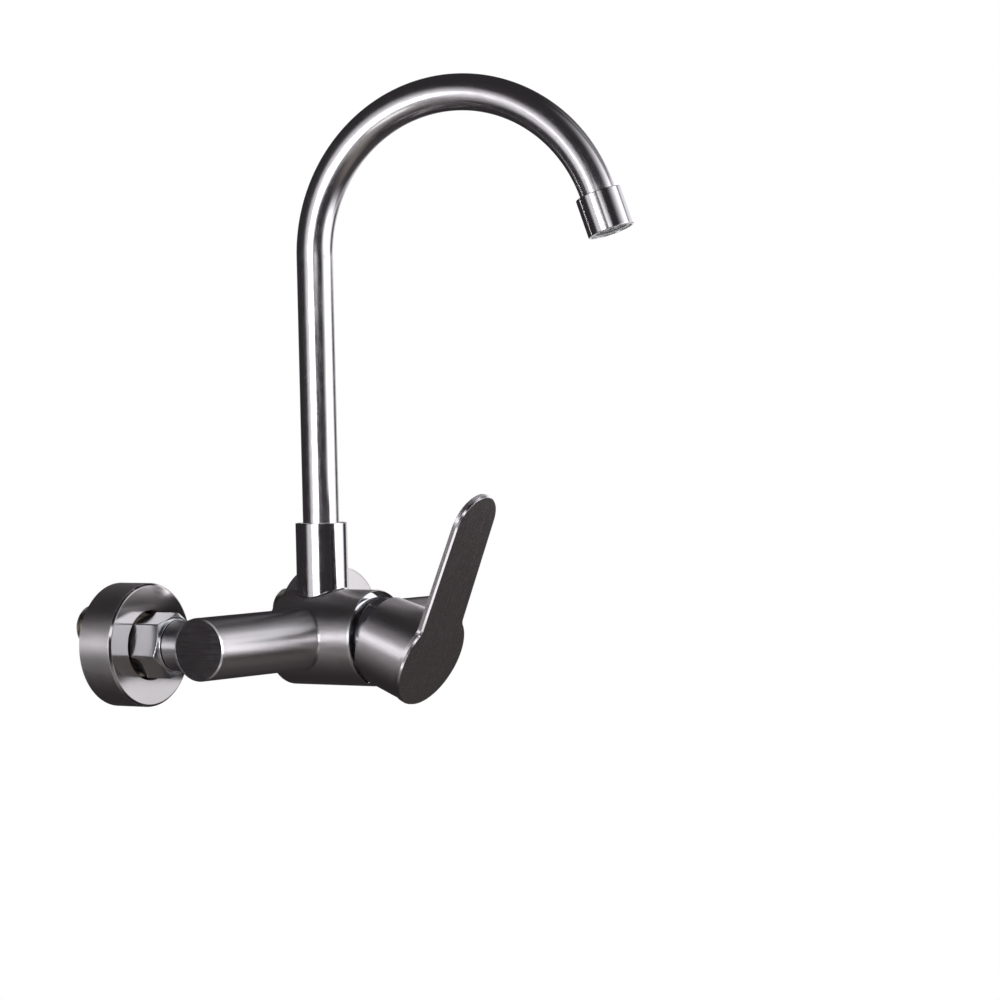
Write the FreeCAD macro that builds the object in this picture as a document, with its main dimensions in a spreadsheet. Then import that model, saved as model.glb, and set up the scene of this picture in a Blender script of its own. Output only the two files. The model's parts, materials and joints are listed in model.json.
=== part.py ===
import FreeCAD, Part
import math
import os
import Sketcher

# Wall-mounted single-lever kitchen mixer, millimetres and degrees.
# X is to the right as the user faces the wall, Y goes into the wall, Z is up.
# The origin lies on the wall, midway between the two wall outlets.
# "Distance" is measured from the wall towards the user, so it is minus Y.

SIZES = {
    "cut_margin": 1.0,
    # inlets and eccentric unions
    "inlet_spacing": 150.0,
    "axis_drop": 8.0,
    "wall_thread_radius": 10.48,
    "wall_thread_length": 20.0,
    "union_bore": 6.0,
    "union_bore_overlap": 4.0,
    "shoulder_radius": 15.6,
    "shoulder_start": 1.5,
    "shoulder_length": 13.5,
    "union_thread_radius": 13.2,
    "union_thread_length": 12.2,
    "thread_gap": 0.1,
    "ring_groove_depth": 1.2,
    "ring_groove_width": 2.6,
    "ring_groove_setback": 3.4,
    "seal_gap": 0.03,
    # escutcheons
    "escutcheon_radius": 29.9,
    "escutcheon_depth": 19.6,
    "escutcheon_wall": 1.2,
    "escutcheon_hole": 16.8,
    "escutcheon_sleeve_wall": 1.0,
    "escutcheon_sleeve_length": 12.0,
    "escutcheon_edge": 1.1,
    # union nuts, washers and tails
    "nut_across": 28.0,
    "nut_length": 16.8,
    "nut_turn_angle": 17.4,
    "nut_corner_cut": 1.2,
    "nut_collar_radius": 13.0,
    "nut_collar_height": 1.0,
    "nut_lip": 3.8,
    "washer_thickness": 1.8,
    "tail_flange_radius": 12.6,
    "tail_flange_thickness": 2.5,
    "tail_radius": 10.2,
    "tail_bore": 7.0,
    "tail_insertion": 9.2,
    "tail_gap": 0.1,
    "nut_hole_gap": 0.3,
    # mixer body
    "neck_radius": 12.3,
    "neck_gap": 0.5,
    "tube_distance": 66.2,
    "tube_radius": 15.1,
    "tube_wall": 1.5,
    "tube_overhang": 19.5,
    "tube_core_half": 26.0,
    "end_cap_thickness": 2.5,
    "end_cap_spigot": 3.0,
    "end_cap_spigot_wall": 2.0,
    "end_cap_edge": 0.7,
    "end_cap_gap": 0.1,
    "valve_radius": 23.5,
    "valve_rear_cover": 1.1,
    "valve_rear_edge": 0.8,
    "rim_edge": 0.4,
    "mouth_radius": 22.35,
    "mouth_depth": 5.9,
    "mouth_relief": 0.6,
    "mouth_relief_depth": 1.7,
    "seat_reach": 5.8,
    "cartridge_gap": 0.2,
    "gallery_radius": 3.6,
    "riser_setback": 8.7,
    "socket_radius": 12.65,
    "socket_top": 56.0,
    "socket_edge": 0.3,
    "socket_floor": 25.0,
    "weld_radius": 1.2,
    # cartridge
    "port_radius": 2.5,
    "port_offset": 5.0,
    "port_height": 4.0,
    "outlet_height": 4.5,
    "peg_offset": 13.0,
    "peg_radius": 1.5,
    "peg_length": 2.5,
    "peg_gap": 0.15,
    "base_flange": 2.2,
    "base_spigot": 2.3,
    "seal_wall": 1.5,
    "seal_pocket_gap": 0.1,
    "seal_height": 1.4,
    "fixed_disc_thickness": 3.5,
    "moving_disc_thickness": 3.0,
    "moving_disc_radius": 12.0,
    "mixing_recess": 4.4,
    "mixing_recess_depth": 1.4,
    "mixing_recess_drop": 1.5,
    "carrier_thickness": 4.0,
    "housing_radius": 17.4,
    "housing_wall": 2.2,
    "housing_shoulder": 1.5,
    "housing_neck_wall": 1.6,
    "housing_neck_length": 6.8,
    "inner_gap": 0.3,
    "stack_gap": 0.2,
    "rotor_flange": 1.8,
    "rotor_radius": 12.3,
    "rotor_gap": 0.1,
    "rotor_nose": 3.6,
    "rotor_slot_up": 8.9,
    "rotor_slot_down": 6.2,
    "rotor_slot_gap": 0.15,
    "pin_radius": 2.0,
    "pin_inset": 0.7,
    "pin_gap": 0.06,
    "pin_edge": 0.3,
    "tip_radius": 2.4,
    "tip_gap": 0.15,
    "tip_floor_gap": 0.3,
    "arm_radius": 2.0,
    # cartridge nut, its seal and the trim dome
    "cartridge_nut_radius": 18.85,
    "cartridge_nut_gap": 0.15,
    "cartridge_nut_ring": 3.3,
    "cartridge_nut_skirt": 3.7,
    "skirt_runout": 0.5,
    "collar_radius": 17.5,
    "collar_height": 5.5,
    "notch_width": 4.0,
    "notch_depth": 2.0,
    "notch_count": 4,
    "trim_seal_offset": 1.0,
    "trim_seal_width": 1.7,
    "trim_seal_depth": 1.0,
    "trim_gap": 0.7,
    "trim_wall": 0.7,
    "trim_flange": 1.0,
    "trim_flange_gap": 0.15,
    "ball_radius": 20.1,
    "ball_wall": 1.2,
    "ball_opening": 13.5,
    # lever
    "pivot_reach": 2.0,
    "lever_tilt_angle": 20.0,
    "lever_turn_angle": -6.6,
    "cap_start": 0.9,
    "cap_rear_radius": 21.7,
    "cap_front_radius": 23.3,
    "cap_wall": 1.3,
    "cap_edge": 0.3,
    "plate_distance": 31.3,
    "plate_lean_angle": 7.0,
    "plate_rise": 0.4,
    "plate_thickness": 3.0,
    "plate_edge": 0.5,
    "head_radius": 24.3,
    "blade_half_width": 16.5,
    "blade_tip_radius": 15.3,
    "blade_reach": 89.3,
    "blade_blend": 5.0,
    "hub_radius": 8.0,
    "hub_gap": 0.6,
    "stem_width": 8.0,
    "stem_gap": 0.1,
    "stem_rear": 5.0,
    "stem_front": 27.0,
    "grub_radius": 2.5,
    "grub_gap": 0.1,
    "grub_hex": 2.5,
    "grub_hex_depth": 1.6,
    "handle_grub_distance": 24.4,
    "handle_grub_length": 3.9,
    "access_radius": 2.9,
    # spout
    "spout_turn_angle": 13.7,
    "spout_radius": 8.9,
    "spout_wall": 1.0,
    "spout_rise": 186.2,
    "arch_radius": 76.7,
    "arch_sweep_angle": 161.0,
    "spout_end_length": 6.0,
    "foot_radius": 10.5,
    "foot_gap": 0.1,
    "foot_lift": 1.0,
    "foot_bore": 6.5,
    "foot_insertion": 5.5,
    "joint_gap": 0.05,
    "slip_ring_height": 2.0,
    "slip_ring_gap": 0.08,
    "spout_grub_height": 44.0,
    "spout_grub_length": 3.0,
    "spout_groove_depth": 1.2,
    "spout_groove_width": 6.0,
    "oring_height": 30.0,
    "oring_pitch": 5.0,
    "oring_groove_depth": 1.6,
    "oring_groove_width": 2.2,
    "oring_gap": 0.06,
    # outlet
    "outlet_radius": 11.4,
    "outlet_length": 19.0,
    "outlet_edge": 0.4,
    "outlet_shoulder": 1.5,
    "shell_radius": 10.0,
    "shell_wall": 1.6,
    "shell_lip": 0.6,
    "shell_recess": 0.4,
    "aerator_washer_thickness": 1.6,
    "aerator_gap": 0.1,
    "jet_radius": 0.8,
    "jet_circle": 5.0,
    "jet_count": 12,
    "screen_thickness": 0.8,
}


class Size:
    """A length or angle that holds its value and the sheet's expression for it."""

    def __init__(self, value, text):
        self.value = value
        self.text = text

    def __add__(self, other):
        other = as_size(other)
        return Size(self.value + other.value, f"({self.text} + {other.text})")

    def __sub__(self, other):
        other = as_size(other)
        return Size(self.value - other.value, f"({self.text} - {other.text})")

    def __mul__(self, other):
        other = as_size(other)
        return Size(self.value * other.value, f"({self.text} * {other.text})")

    def __truediv__(self, other):
        other = as_size(other)
        return Size(self.value / other.value, f"({self.text} / {other.text})")

    def __neg__(self):
        return Size(-self.value, f"(0 - {self.text})")


def as_size(value):
    return value if isinstance(value, Size) else Size(float(value), f"{float(value):.6g}")


def root(size):
    return Size(math.sqrt(size.value), f"sqrt({size.text})")


def sine(size):
    return Size(math.sin(math.radians(size.value)), f"sin({size.text})")


def cosine(size):
    return Size(math.cos(math.radians(size.value)), f"cos({size.text})")


def tangent(size):
    return Size(math.tan(math.radians(size.value)), f"tan({size.text})")


def leg(hypotenuse, other):
    """The second short side of a right-angled triangle."""
    return root(hypotenuse * hypotenuse - other * other)


class Sheet:
    """The driving dimensions by name, each one a Size bound to its cell."""

    def __init__(self, document, sizes):
        cells = document.addObject("Spreadsheet::Sheet", "Sizes")
        for row, (name, value) in enumerate(sizes.items(), 1):
            cells.set(f"A{row}", name)
            cells.set(f"B{row}", str(value))
            cells.setAlias(f"B{row}", name)
            setattr(self, name, Size(value, f"Sizes.{name}"))
        document.recompute()


doc = FreeCAD.newDocument("Mixer")
s = Sheet(doc, SIZES)
pieces = {}


# Places, as expressions

def place(x=0, y=0, z=0, turns="rotation(vector(0; 0; 1); 0)"):
    at = "; ".join(as_size(value).text for value in (x, y, z))
    return f"placement(vector({at}); {turns})"


def about(axis, angle):
    return f"rotation(vector({axis}); {as_size(angle).text})"


X_AXIS = "1; 0; 0"
Y_AXIS = "0; 1; 0"
Z_AXIS = "0; 0; 1"
QUARTER = Size(90.0, "90")
HALF_TURN = Size(180.0, "180")
FULL_TURN = 360
HEXAGON_SIDES = 6
HEXAGON_HALF = Size(180.0 / HEXAGON_SIDES, f"{180 // HEXAGON_SIDES}")


# Sketches and features

class Circle:
    def __init__(self, radius, x=0, y=0):
        self.radius = as_size(radius)
        self.x = as_size(x)
        self.y = as_size(y)


def bind(sketch, constraint, size):
    number = sketch.addConstraint(constraint)
    if "Sizes." in size.text:
        sketch.setExpression(f"Constraints[{number}]", size.text)


def pin_point(sketch, item, end, x, y):
    bind(sketch, Sketcher.Constraint("DistanceX", -1, 1, item, end, x.value), x)
    bind(sketch, Sketcher.Constraint("DistanceY", -1, 1, item, end, y.value), y)


def arc_between(start, stop, radius):
    """The short arc from start to stop; a positive radius turns left, a negative one right."""
    chord = stop - start
    reach = math.sqrt(max(radius * radius - chord.Length ** 2 / 4, 0))
    left = FreeCAD.Vector(-chord.y, chord.x, 0).normalize()
    centre = (start + stop) / 2 + left * math.copysign(reach, radius)
    first, last = (start, stop) if radius > 0 else (stop, start)
    begin = math.atan2(first.y - centre.y, first.x - centre.x)
    end = math.atan2(last.y - centre.y, last.x - centre.x)
    if end < begin:
        end += 2 * math.pi
    circle = Part.Circle(centre, FreeCAD.Vector(0, 0, 1), abs(radius))
    return Part.ArcOfCircle(circle, begin, end)


def draw_outline(sketch, points, closed=True):
    """Lines and arcs through points (x, y), or (x, y, radius) where an arc leads to the next point."""
    spots = [(as_size(point[0]), as_size(point[1])) for point in points]
    corners = [FreeCAD.Vector(x.value, y.value, 0) for x, y in spots]
    count = len(points) if closed else len(points) - 1
    ends = []
    first = sketch.GeometryCount
    for number in range(count):
        start = corners[number]
        stop = corners[(number + 1) % len(points)]
        if len(points[number]) == 2:
            sketch.addGeometry(Part.LineSegment(start, stop))
            ends.append((1, 2))
            continue
        radius = as_size(points[number][2])
        item = sketch.addGeometry(arc_between(start, stop, radius.value))
        ends.append((1, 2) if radius.value > 0 else (2, 1))
        size = radius if radius.value > 0 else -radius
        bind(sketch, Sketcher.Constraint("Radius", item, size.value), size)
    for number in range(count):
        item = first + number
        following = first + (number + 1) % count
        pin_point(sketch, item, ends[number][0], *spots[number])
        if closed or number + 1 < count:
            after = ends[(number + 1) % count][0]
            sketch.addConstraint(Sketcher.Constraint("Coincident", item, ends[number][1], following, after))
        else:
            pin_point(sketch, item, ends[number][1], *spots[number + 1])


def draw_circle(sketch, circle):
    spot = FreeCAD.Vector(circle.x.value, circle.y.value, 0)
    item = sketch.addGeometry(Part.Circle(spot, FreeCAD.Vector(0, 0, 1), circle.radius.value))
    bind(sketch, Sketcher.Constraint("Radius", item, circle.radius.value), circle.radius)
    pin_point(sketch, item, 3, circle.x, circle.y)


def draw(body, name, outlines, plane="XZ_Plane", offset=None, closed=True):
    sketch = body.newObject("Sketcher::SketchObject", name)
    flat = next(feature for feature in body.Origin.OriginFeatures if feature.Role == plane)
    sketch.AttachmentSupport = [(flat, "")]
    sketch.MapMode = "FlatFace"
    if offset:
        sketch.setExpression("AttachmentOffset", offset)
    for outline in outlines:
        if isinstance(outline, Circle):
            draw_circle(sketch, outline)
        else:
            draw_outline(sketch, outline, closed)
    return sketch


def new_body(label):
    body = doc.addObject("PartDesign::Body", label)
    body.Label = label
    return body


def settle(body, feature, before, cut):
    """Make the feature the body's tip and see that it did something."""
    body.Tip = feature
    doc.recompute()
    change = body.Shape.Volume - before
    if (change > -1e-6) if cut else (change < 1e-6):
        raise RuntimeError(f"{feature.Name} changes nothing")
    return feature


def volume_of(body):
    return body.Shape.Volume if body.Tip else 0.0


def turn(body, name, outline, cut=False, plane="XZ_Plane", axis="V_Axis", offset=None):
    """Turn an outline about an axis of its sketch, to add or to cut."""
    before = volume_of(body)
    sketch = draw(body, name + "_profile", [outline], plane, offset)
    feature = body.newObject("PartDesign::Groove" if cut else "PartDesign::Revolution", name)
    feature.Profile = sketch
    feature.ReferenceAxis = (sketch, [axis])
    feature.Angle = FULL_TURN
    return settle(body, feature, before, cut)


def extrude(body, name, outlines, length, cut=False, forward=True, plane="XY_Plane", offset=None):
    """Push outlines along their sketch's normal, or against it, to add or to cut."""
    before = volume_of(body)
    sketch = draw(body, name + "_profile", outlines, plane, offset)
    feature = body.newObject("PartDesign::Pocket" if cut else "PartDesign::Pad", name)
    feature.Profile = sketch
    feature.setExpression("Length", as_size(length).text)
    feature.Reversed = forward if cut else not forward
    return settle(body, feature, before, cut)


def repeat_round(body, feature, count, cut=True):
    """Repeat a feature about the normal through its sketch's origin."""
    before = volume_of(body)
    pattern = body.newObject("PartDesign::PolarPattern", feature.Name + "_round")
    pattern.Originals = [feature]
    pattern.Axis = (feature.Profile[0], ["N_Axis"])
    pattern.Angle = FULL_TURN
    pattern.setExpression("Occurrences", count.text)
    return settle(body, pattern, before, cut)


def dress(body, name, kind, size, chosen, cut=True):
    """A chamfer or fillet on the edges of the body that the test chooses."""
    before = volume_of(body)
    base = body.Tip
    edges = [f"Edge{number}" for number, edge in enumerate(base.Shape.Edges, 1) if chosen(edge)]
    feature = body.newObject(f"PartDesign::{kind}", name)
    feature.Base = (base, edges)
    feature.setExpression("Size" if kind == "Chamfer" else "Radius", size.text)
    return settle(body, feature, before, cut)


def keep(label, item, *steps):
    """Put a finished piece in its place and list it for export."""
    item.Label = label
    item.setExpression("Placement", " * ".join(steps))
    pieces[label] = item


def turned_piece(label, outline, *steps):
    body = new_body(label)
    turn(body, label + "_form", outline)
    keep(label, body, *steps)
    return body


def solid(kind, name, sizes, at=None):
    """A Part primitive with its properties bound to sizes."""
    item = doc.addObject(f"Part::{kind}", name)
    for prop, value in sizes.items():
        item.setExpression(prop, as_size(value).text)
    if at:
        item.setExpression("Placement", at)
    return item


def oring(label, inner, outer, *steps):
    """A round-section ring that fills the room between two radii."""
    ring = solid("Torus", label, {"Radius1": (inner + outer) / 2, "Radius2": (outer - inner) / 2})
    keep(label, ring, *steps)
    return ring


# Levels that follow from the sizes

shoulder_end = s.shoulder_start + s.shoulder_length
union_end = shoulder_end + s.union_thread_length
flange_start = union_end + s.washer_thickness
flange_end = flange_start + s.tail_flange_thickness
nut_end = flange_end + s.nut_lip
nut_front = nut_end + s.nut_collar_height
neck_start = nut_front + s.neck_gap
tail_end = neck_start + s.tail_insertion

tube_half_length = s.inlet_spacing / 2 + s.tube_overhang
tube_end = tube_half_length - s.end_cap_thickness

valve_rear = s.tube_distance - s.tube_radius - s.weld_radius - s.valve_rear_cover
seat = s.tube_distance + s.seat_reach
base_step = seat + s.base_flange
base_top = base_step + s.base_spigot
fixed_top = base_top + s.fixed_disc_thickness
moving_top = fixed_top + s.moving_disc_thickness
carrier_top = moving_top + s.carrier_thickness
rotor_rear = carrier_top + s.stack_gap
rotor_step = rotor_rear + s.rotor_flange
housing_step = rotor_step + s.stack_gap
nut_seat = housing_step + s.housing_shoulder
housing_top = nut_seat + s.housing_neck_length
mouth_floor = nut_seat + s.cartridge_nut_ring
rim = mouth_floor + s.mouth_depth
pivot = rim + s.pivot_reach

housing_bore = s.housing_radius - s.housing_wall
neck_bore = s.rotor_radius + s.rotor_gap
housing_neck = neck_bore + s.housing_neck_wall
nut_bore = housing_neck + s.cartridge_gap
cartridge_bore = s.housing_radius + s.cartridge_gap
thread_bore = s.cartridge_nut_radius + s.cartridge_nut_gap
trim_bore = s.collar_radius + s.trim_gap
trim_radius = trim_bore + s.trim_wall

arm_length = pivot - (moving_top + s.tip_radius + s.tip_floor_gap)
disc_travel = arm_length * sine(s.lever_tilt_angle)

socket_bore = s.foot_radius + s.foot_gap
foot_bottom = s.socket_floor + s.foot_lift
foot_top = s.socket_top - s.slip_ring_height
groove_floor = s.foot_radius - s.spout_groove_depth


# Frames: x to the right, y up and z out from the wall, unless said otherwise

def wall_frame(x=0):
    return place(x, 0, -s.axis_drop, about(X_AXIS, QUARTER))


ROTOR_FRAME = place(0, 0, -s.axis_drop, f"{about(Y_AXIS, s.lever_turn_angle)} * {about(X_AXIS, QUARTER)}")
LEVER_TURNS = f"{about(Y_AXIS, s.lever_turn_angle)} * {about(X_AXIS, s.lever_tilt_angle + QUARTER)}"
LEVER_FRAME = place(0, -pivot, -s.axis_drop, LEVER_TURNS)
# the spout's own frame: x towards the outlet, z up
SPOUT_FRAME = place(0, -s.tube_distance, -s.axis_drop, about(Z_AXIS, s.spout_turn_angle - QUARTER))
# the outlet's frame: z along the end of the spout, away from the arch
arch_end_x = s.arch_radius - s.arch_radius * cosine(s.arch_sweep_angle)
arch_end_z = s.spout_rise + s.arch_radius * sine(s.arch_sweep_angle)
OUTLET_PLACE = place(arch_end_x, 0, arch_end_z, about(Y_AXIS, s.arch_sweep_angle))
OUTLET_FRAME = f"{SPOUT_FRAME} * {OUTLET_PLACE}"


def beside(x, y):
    """Offset of an XZ sketch whose upright axis stands at (x, y) in a frame with z outwards."""
    return place(x, 0, as_size(0) - y)


# Inlets

def make_union(label, x):
    body = new_body(label)
    floor = s.shoulder_radius - s.ring_groove_depth
    groove_end = shoulder_end - s.ring_groove_setback
    groove_start = groove_end - s.ring_groove_width
    turn(body, label + "_shoulder", [
        (0, s.shoulder_start), (s.shoulder_radius, s.shoulder_start),
        (s.shoulder_radius, groove_start), (floor, groove_start),
        (floor, groove_end), (s.shoulder_radius, groove_end),
        (s.shoulder_radius, shoulder_end), (s.union_thread_radius, shoulder_end),
        (s.union_thread_radius, union_end), (0, union_end)])
    stud = [(0, -s.wall_thread_length), (s.wall_thread_radius, -s.wall_thread_length),
            (s.wall_thread_radius, s.shoulder_start), (0, s.shoulder_start)]
    turn(body, label + "_wall_thread", stud, offset=beside(0, s.axis_drop))
    rear_end = s.shoulder_start + s.union_bore_overlap
    rear_bore = [(0, -s.wall_thread_length), (s.union_bore, -s.wall_thread_length),
                 (s.union_bore, rear_end), (0, rear_end)]
    turn(body, label + "_rear_bore", rear_bore, cut=True, offset=beside(0, s.axis_drop))
    front_start = s.shoulder_start + s.union_bore_overlap / 4
    front_bore = [(0, front_start), (s.union_bore, front_start), (s.union_bore, union_end), (0, union_end)]
    turn(body, label + "_front_bore", front_bore, cut=True)
    keep(label, body, wall_frame(x))


def make_escutcheon_ring(label, x):
    floor = s.shoulder_radius - s.ring_groove_depth
    level = shoulder_end - s.ring_groove_setback - s.ring_groove_width / 2
    oring(label, floor + s.seal_gap, s.escutcheon_hole - s.seal_gap, wall_frame(x), place(0, 0, level))


def make_escutcheon(label, x):
    sleeve = s.escutcheon_hole + s.escutcheon_sleeve_wall
    sleeve_start = s.escutcheon_depth - s.escutcheon_sleeve_length
    inside = s.escutcheon_radius - s.escutcheon_wall
    face = s.escutcheon_depth - s.escutcheon_wall
    turned_piece(label, [
        (s.escutcheon_hole, sleeve_start), (sleeve, sleeve_start), (sleeve, face), (inside, face),
        (inside, 0), (s.escutcheon_radius, 0),
        (s.escutcheon_radius, s.escutcheon_depth - s.escutcheon_edge),
        (s.escutcheon_radius - s.escutcheon_edge, s.escutcheon_depth),
        (s.escutcheon_hole, s.escutcheon_depth)], wall_frame(x))


def make_nut(label, x):
    """A hexagon whose corners, collar and bores come from a turned form."""
    flat = s.nut_across / 2
    corner = flat / cosine(HEXAGON_HALF)
    start = nut_end - s.nut_length
    bore = s.union_thread_radius + s.thread_gap
    hole = s.tail_radius + s.nut_hole_gap
    form = new_body(label + "_form")
    turn(form, label + "_form_turned", [
        (bore, start), (flat, start), (corner, start + s.nut_corner_cut),
        (corner, nut_end - s.nut_corner_cut), (flat, nut_end),
        (s.nut_collar_radius, nut_end), (s.nut_collar_radius, nut_front),
        (hole, nut_front), (hole, flange_end), (bore, flange_end)])
    hexagon = doc.addObject("Part::Prism", label + "_hexagon")
    hexagon.Polygon = HEXAGON_SIDES
    hexagon.setExpression("Circumradius", corner.text)
    hexagon.setExpression("Height", (nut_front - start).text)
    hexagon.setExpression("Placement", place(0, 0, start, about(Z_AXIS, s.nut_turn_angle)))
    nut = doc.addObject("Part::Common", label)
    nut.Base = form
    nut.Tool = hexagon
    keep(label, nut, wall_frame(x))


def make_washer(label, x):
    hole = s.tail_bore
    turned_piece(label, [(hole, union_end), (s.tail_flange_radius, union_end),
                         (s.tail_flange_radius, flange_start), (hole, flange_start)], wall_frame(x))


def make_tail(label, x):
    turned_piece(label, [
        (s.tail_bore, flange_start), (s.tail_flange_radius, flange_start),
        (s.tail_flange_radius, flange_end), (s.tail_radius, flange_end),
        (s.tail_radius, tail_end), (s.tail_bore, tail_end)], wall_frame(x))


for side, sign in (("left", -1), ("right", 1)):
    inlet_x = s.inlet_spacing / 2 * sign
    make_union(f"s_union_{side}", inlet_x)
    make_escutcheon_ring(f"escutcheon_ring_{side}", inlet_x)
    make_escutcheon(f"escutcheon_{side}", inlet_x)
    make_nut(f"union_nut_{side}", inlet_x)
    make_washer(f"inlet_washer_{side}", inlet_x)
    make_tail(f"inlet_tail_{side}", inlet_x)


# Mixer body

def box_outline(low_x, low_y, high_x, high_y):
    return [(low_x, low_y), (high_x, low_y), (high_x, high_y), (low_x, high_y)]


def on_weld(edge):
    """The edges where the spout socket and the cross tube meet the middle cylinder."""
    middle = edge.valueAt((edge.FirstParameter + edge.LastParameter) / 2)
    from_socket = math.hypot(middle.x, middle.z - s.tube_distance.value)
    from_tube = math.hypot(middle.y, middle.z - s.tube_distance.value)
    from_valve = math.hypot(middle.x, middle.y)
    on_branch = (abs(from_socket - s.socket_radius.value) < 1e-3
                 or abs(from_tube - s.tube_radius.value) < 1e-3)
    return on_branch and abs(from_valve - s.valve_radius.value) < 1e-3


def make_mixer_body():
    body = new_body("mixer_body")
    at_tube = place(0, s.tube_distance, 0)
    turn(body, "cross_tube", box_outline(-tube_end, 0, tube_end, s.tube_radius), axis="H_Axis",
         offset=at_tube)
    turn(body, "valve_cylinder", [
        (0, valve_rear), (s.valve_radius - s.valve_rear_edge, valve_rear),
        (s.valve_radius, valve_rear + s.valve_rear_edge), (s.valve_radius, rim - s.rim_edge),
        (s.valve_radius - s.rim_edge, rim), (0, rim)])
    turn(body, "spout_socket", [
        (0, 0), (s.socket_top, 0), (s.socket_top, s.socket_radius - s.socket_edge),
        (s.socket_top - s.socket_edge, s.socket_radius), (0, s.socket_radius)],
        plane="YZ_Plane", axis="H_Axis", offset=at_tube)
    dress(body, "welds", "Fillet", s.weld_radius, on_weld, cut=False)
    tube_bore = s.tube_radius - s.tube_wall
    socket_depth = tail_end + s.neck_gap
    for side, sign in (("left", -1), ("right", 1)):
        inlet_x = s.inlet_spacing / 2 * sign
        at_inlet = beside(inlet_x, 0)
        turn(body, f"neck_{side}", box_outline(0, neck_start, s.neck_radius, s.tube_distance),
             offset=at_inlet)
        inner, outer = s.tube_core_half * sign, tube_end * sign
        turn(body, f"tube_bore_{side}", box_outline(inner, 0, outer, tube_bore), cut=True, axis="H_Axis",
             offset=at_tube)
        tail_hole = s.tail_radius + s.tail_gap
        turn(body, f"neck_bore_{side}", [
            (0, neck_start), (tail_hole, neck_start), (tail_hole, socket_depth), (s.tail_bore, socket_depth),
            (s.tail_bore, s.tube_distance), (0, s.tube_distance)], cut=True, offset=at_inlet)
        port_x = s.port_offset * sign
        turn(body, f"gallery_{side}", box_outline(port_x, 0, inner, s.gallery_radius), cut=True,
             axis="H_Axis", offset=place(0, s.tube_distance, -s.port_height))
        turn(body, f"port_{side}", box_outline(0, s.tube_distance, s.port_radius, seat), cut=True,
             offset=beside(port_x, s.port_height))
        peg_hole = s.peg_radius + s.peg_gap
        peg_floor = seat - s.peg_length - s.peg_gap
        turn(body, f"peg_hole_{side}", box_outline(0, peg_floor, peg_hole, seat), cut=True,
             offset=beside(s.peg_offset * sign, 0))
    relief_start = rim - s.mouth_relief_depth
    thread_floor = nut_seat - s.cartridge_nut_skirt - s.skirt_runout
    turn(body, "cartridge_bore", [
        (0, seat), (cartridge_bore, seat), (cartridge_bore, thread_floor), (thread_bore, thread_floor),
        (thread_bore, mouth_floor), (s.mouth_radius, mouth_floor), (s.mouth_radius, relief_start),
        (s.mouth_radius + s.mouth_relief, rim), (0, rim)], cut=True)
    riser = s.tube_distance - s.riser_setback
    turn(body, "outlet_port", box_outline(0, riser, s.port_radius, seat), cut=True,
         offset=beside(0, -s.outlet_height))
    turn(body, "riser", box_outline(-s.outlet_height, 0, s.socket_floor, s.gallery_radius), cut=True,
         plane="YZ_Plane", axis="H_Axis", offset=place(0, riser, 0))
    turn(body, "spout_bore", box_outline(s.socket_floor, 0, s.socket_top, socket_bore), cut=True,
         plane="YZ_Plane", axis="H_Axis", offset=at_tube)
    grub_hole = s.grub_radius + s.grub_gap
    grub_start = s.tube_distance - s.socket_radius - s.cut_margin
    turn(body, "spout_grub_hole", box_outline(0, grub_start, grub_hole, s.tube_distance), cut=True,
         offset=beside(0, s.spout_grub_height))
    keep("mixer_body", body, wall_frame())


def make_end_cap(label, sign):
    spigot = s.tube_radius - s.tube_wall - s.end_cap_gap
    inside = spigot - s.end_cap_spigot_wall
    face_x = tube_end * sign
    turned_piece(label, [
        (0, 0), (inside, 0), (inside, -s.end_cap_spigot), (spigot, -s.end_cap_spigot), (spigot, 0),
        (s.tube_radius, 0), (s.tube_radius, s.end_cap_thickness - s.end_cap_edge),
        (s.tube_radius - s.end_cap_edge, s.end_cap_thickness), (0, s.end_cap_thickness)],
        place(face_x, -s.tube_distance, -s.axis_drop, about(Y_AXIS, QUARTER * sign)))


make_mixer_body()
make_end_cap("end_cap_left", -1)
make_end_cap("end_cap_right", 1)


# Cartridge

PORTS = [(-s.port_offset, s.port_height), (s.port_offset, s.port_height), (as_size(0), -s.outlet_height)]


def port_circles(radius):
    return [Circle(radius, x, y) for x, y in PORTS]


def make_cartridge_base():
    body = new_body("cartridge_base")
    spigot = housing_bore - s.cartridge_gap
    flange = s.housing_radius
    turn(body, "base_form", [(0, seat), (flange, seat), (flange, base_step), (spigot, base_step),
                             (spigot, base_top), (0, base_top)])
    pocket = s.port_radius + s.seal_wall + s.seal_pocket_gap
    at_seat = place(0, 0, seat)
    extrude(body, "seal_pockets", port_circles(pocket), s.seal_height, cut=True, offset=at_seat)
    extrude(body, "base_ports", port_circles(s.port_radius), base_top - seat, cut=True, offset=at_seat)
    pegs = [Circle(s.peg_radius, s.peg_offset * sign, 0) for sign in (-1, 1)]
    extrude(body, "pegs", pegs, s.peg_length, forward=False, offset=at_seat)
    keep("cartridge_base", body, wall_frame())


def make_port_seals():
    body = new_body("port_seals")
    body.AllowCompound = True
    rings = port_circles(s.port_radius + s.seal_wall) + port_circles(s.port_radius)
    extrude(body, "seal_rings", rings, s.seal_height, offset=place(0, 0, seat))
    keep("port_seals", body, wall_frame())


def make_fixed_disc():
    body = new_body("fixed_ceramic_disc")
    outline = [Circle(housing_bore - s.cartridge_gap)] + port_circles(s.port_radius)
    extrude(body, "fixed_disc_form", outline, s.fixed_disc_thickness, offset=place(0, 0, base_top))
    keep("fixed_ceramic_disc", body, wall_frame())


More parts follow.
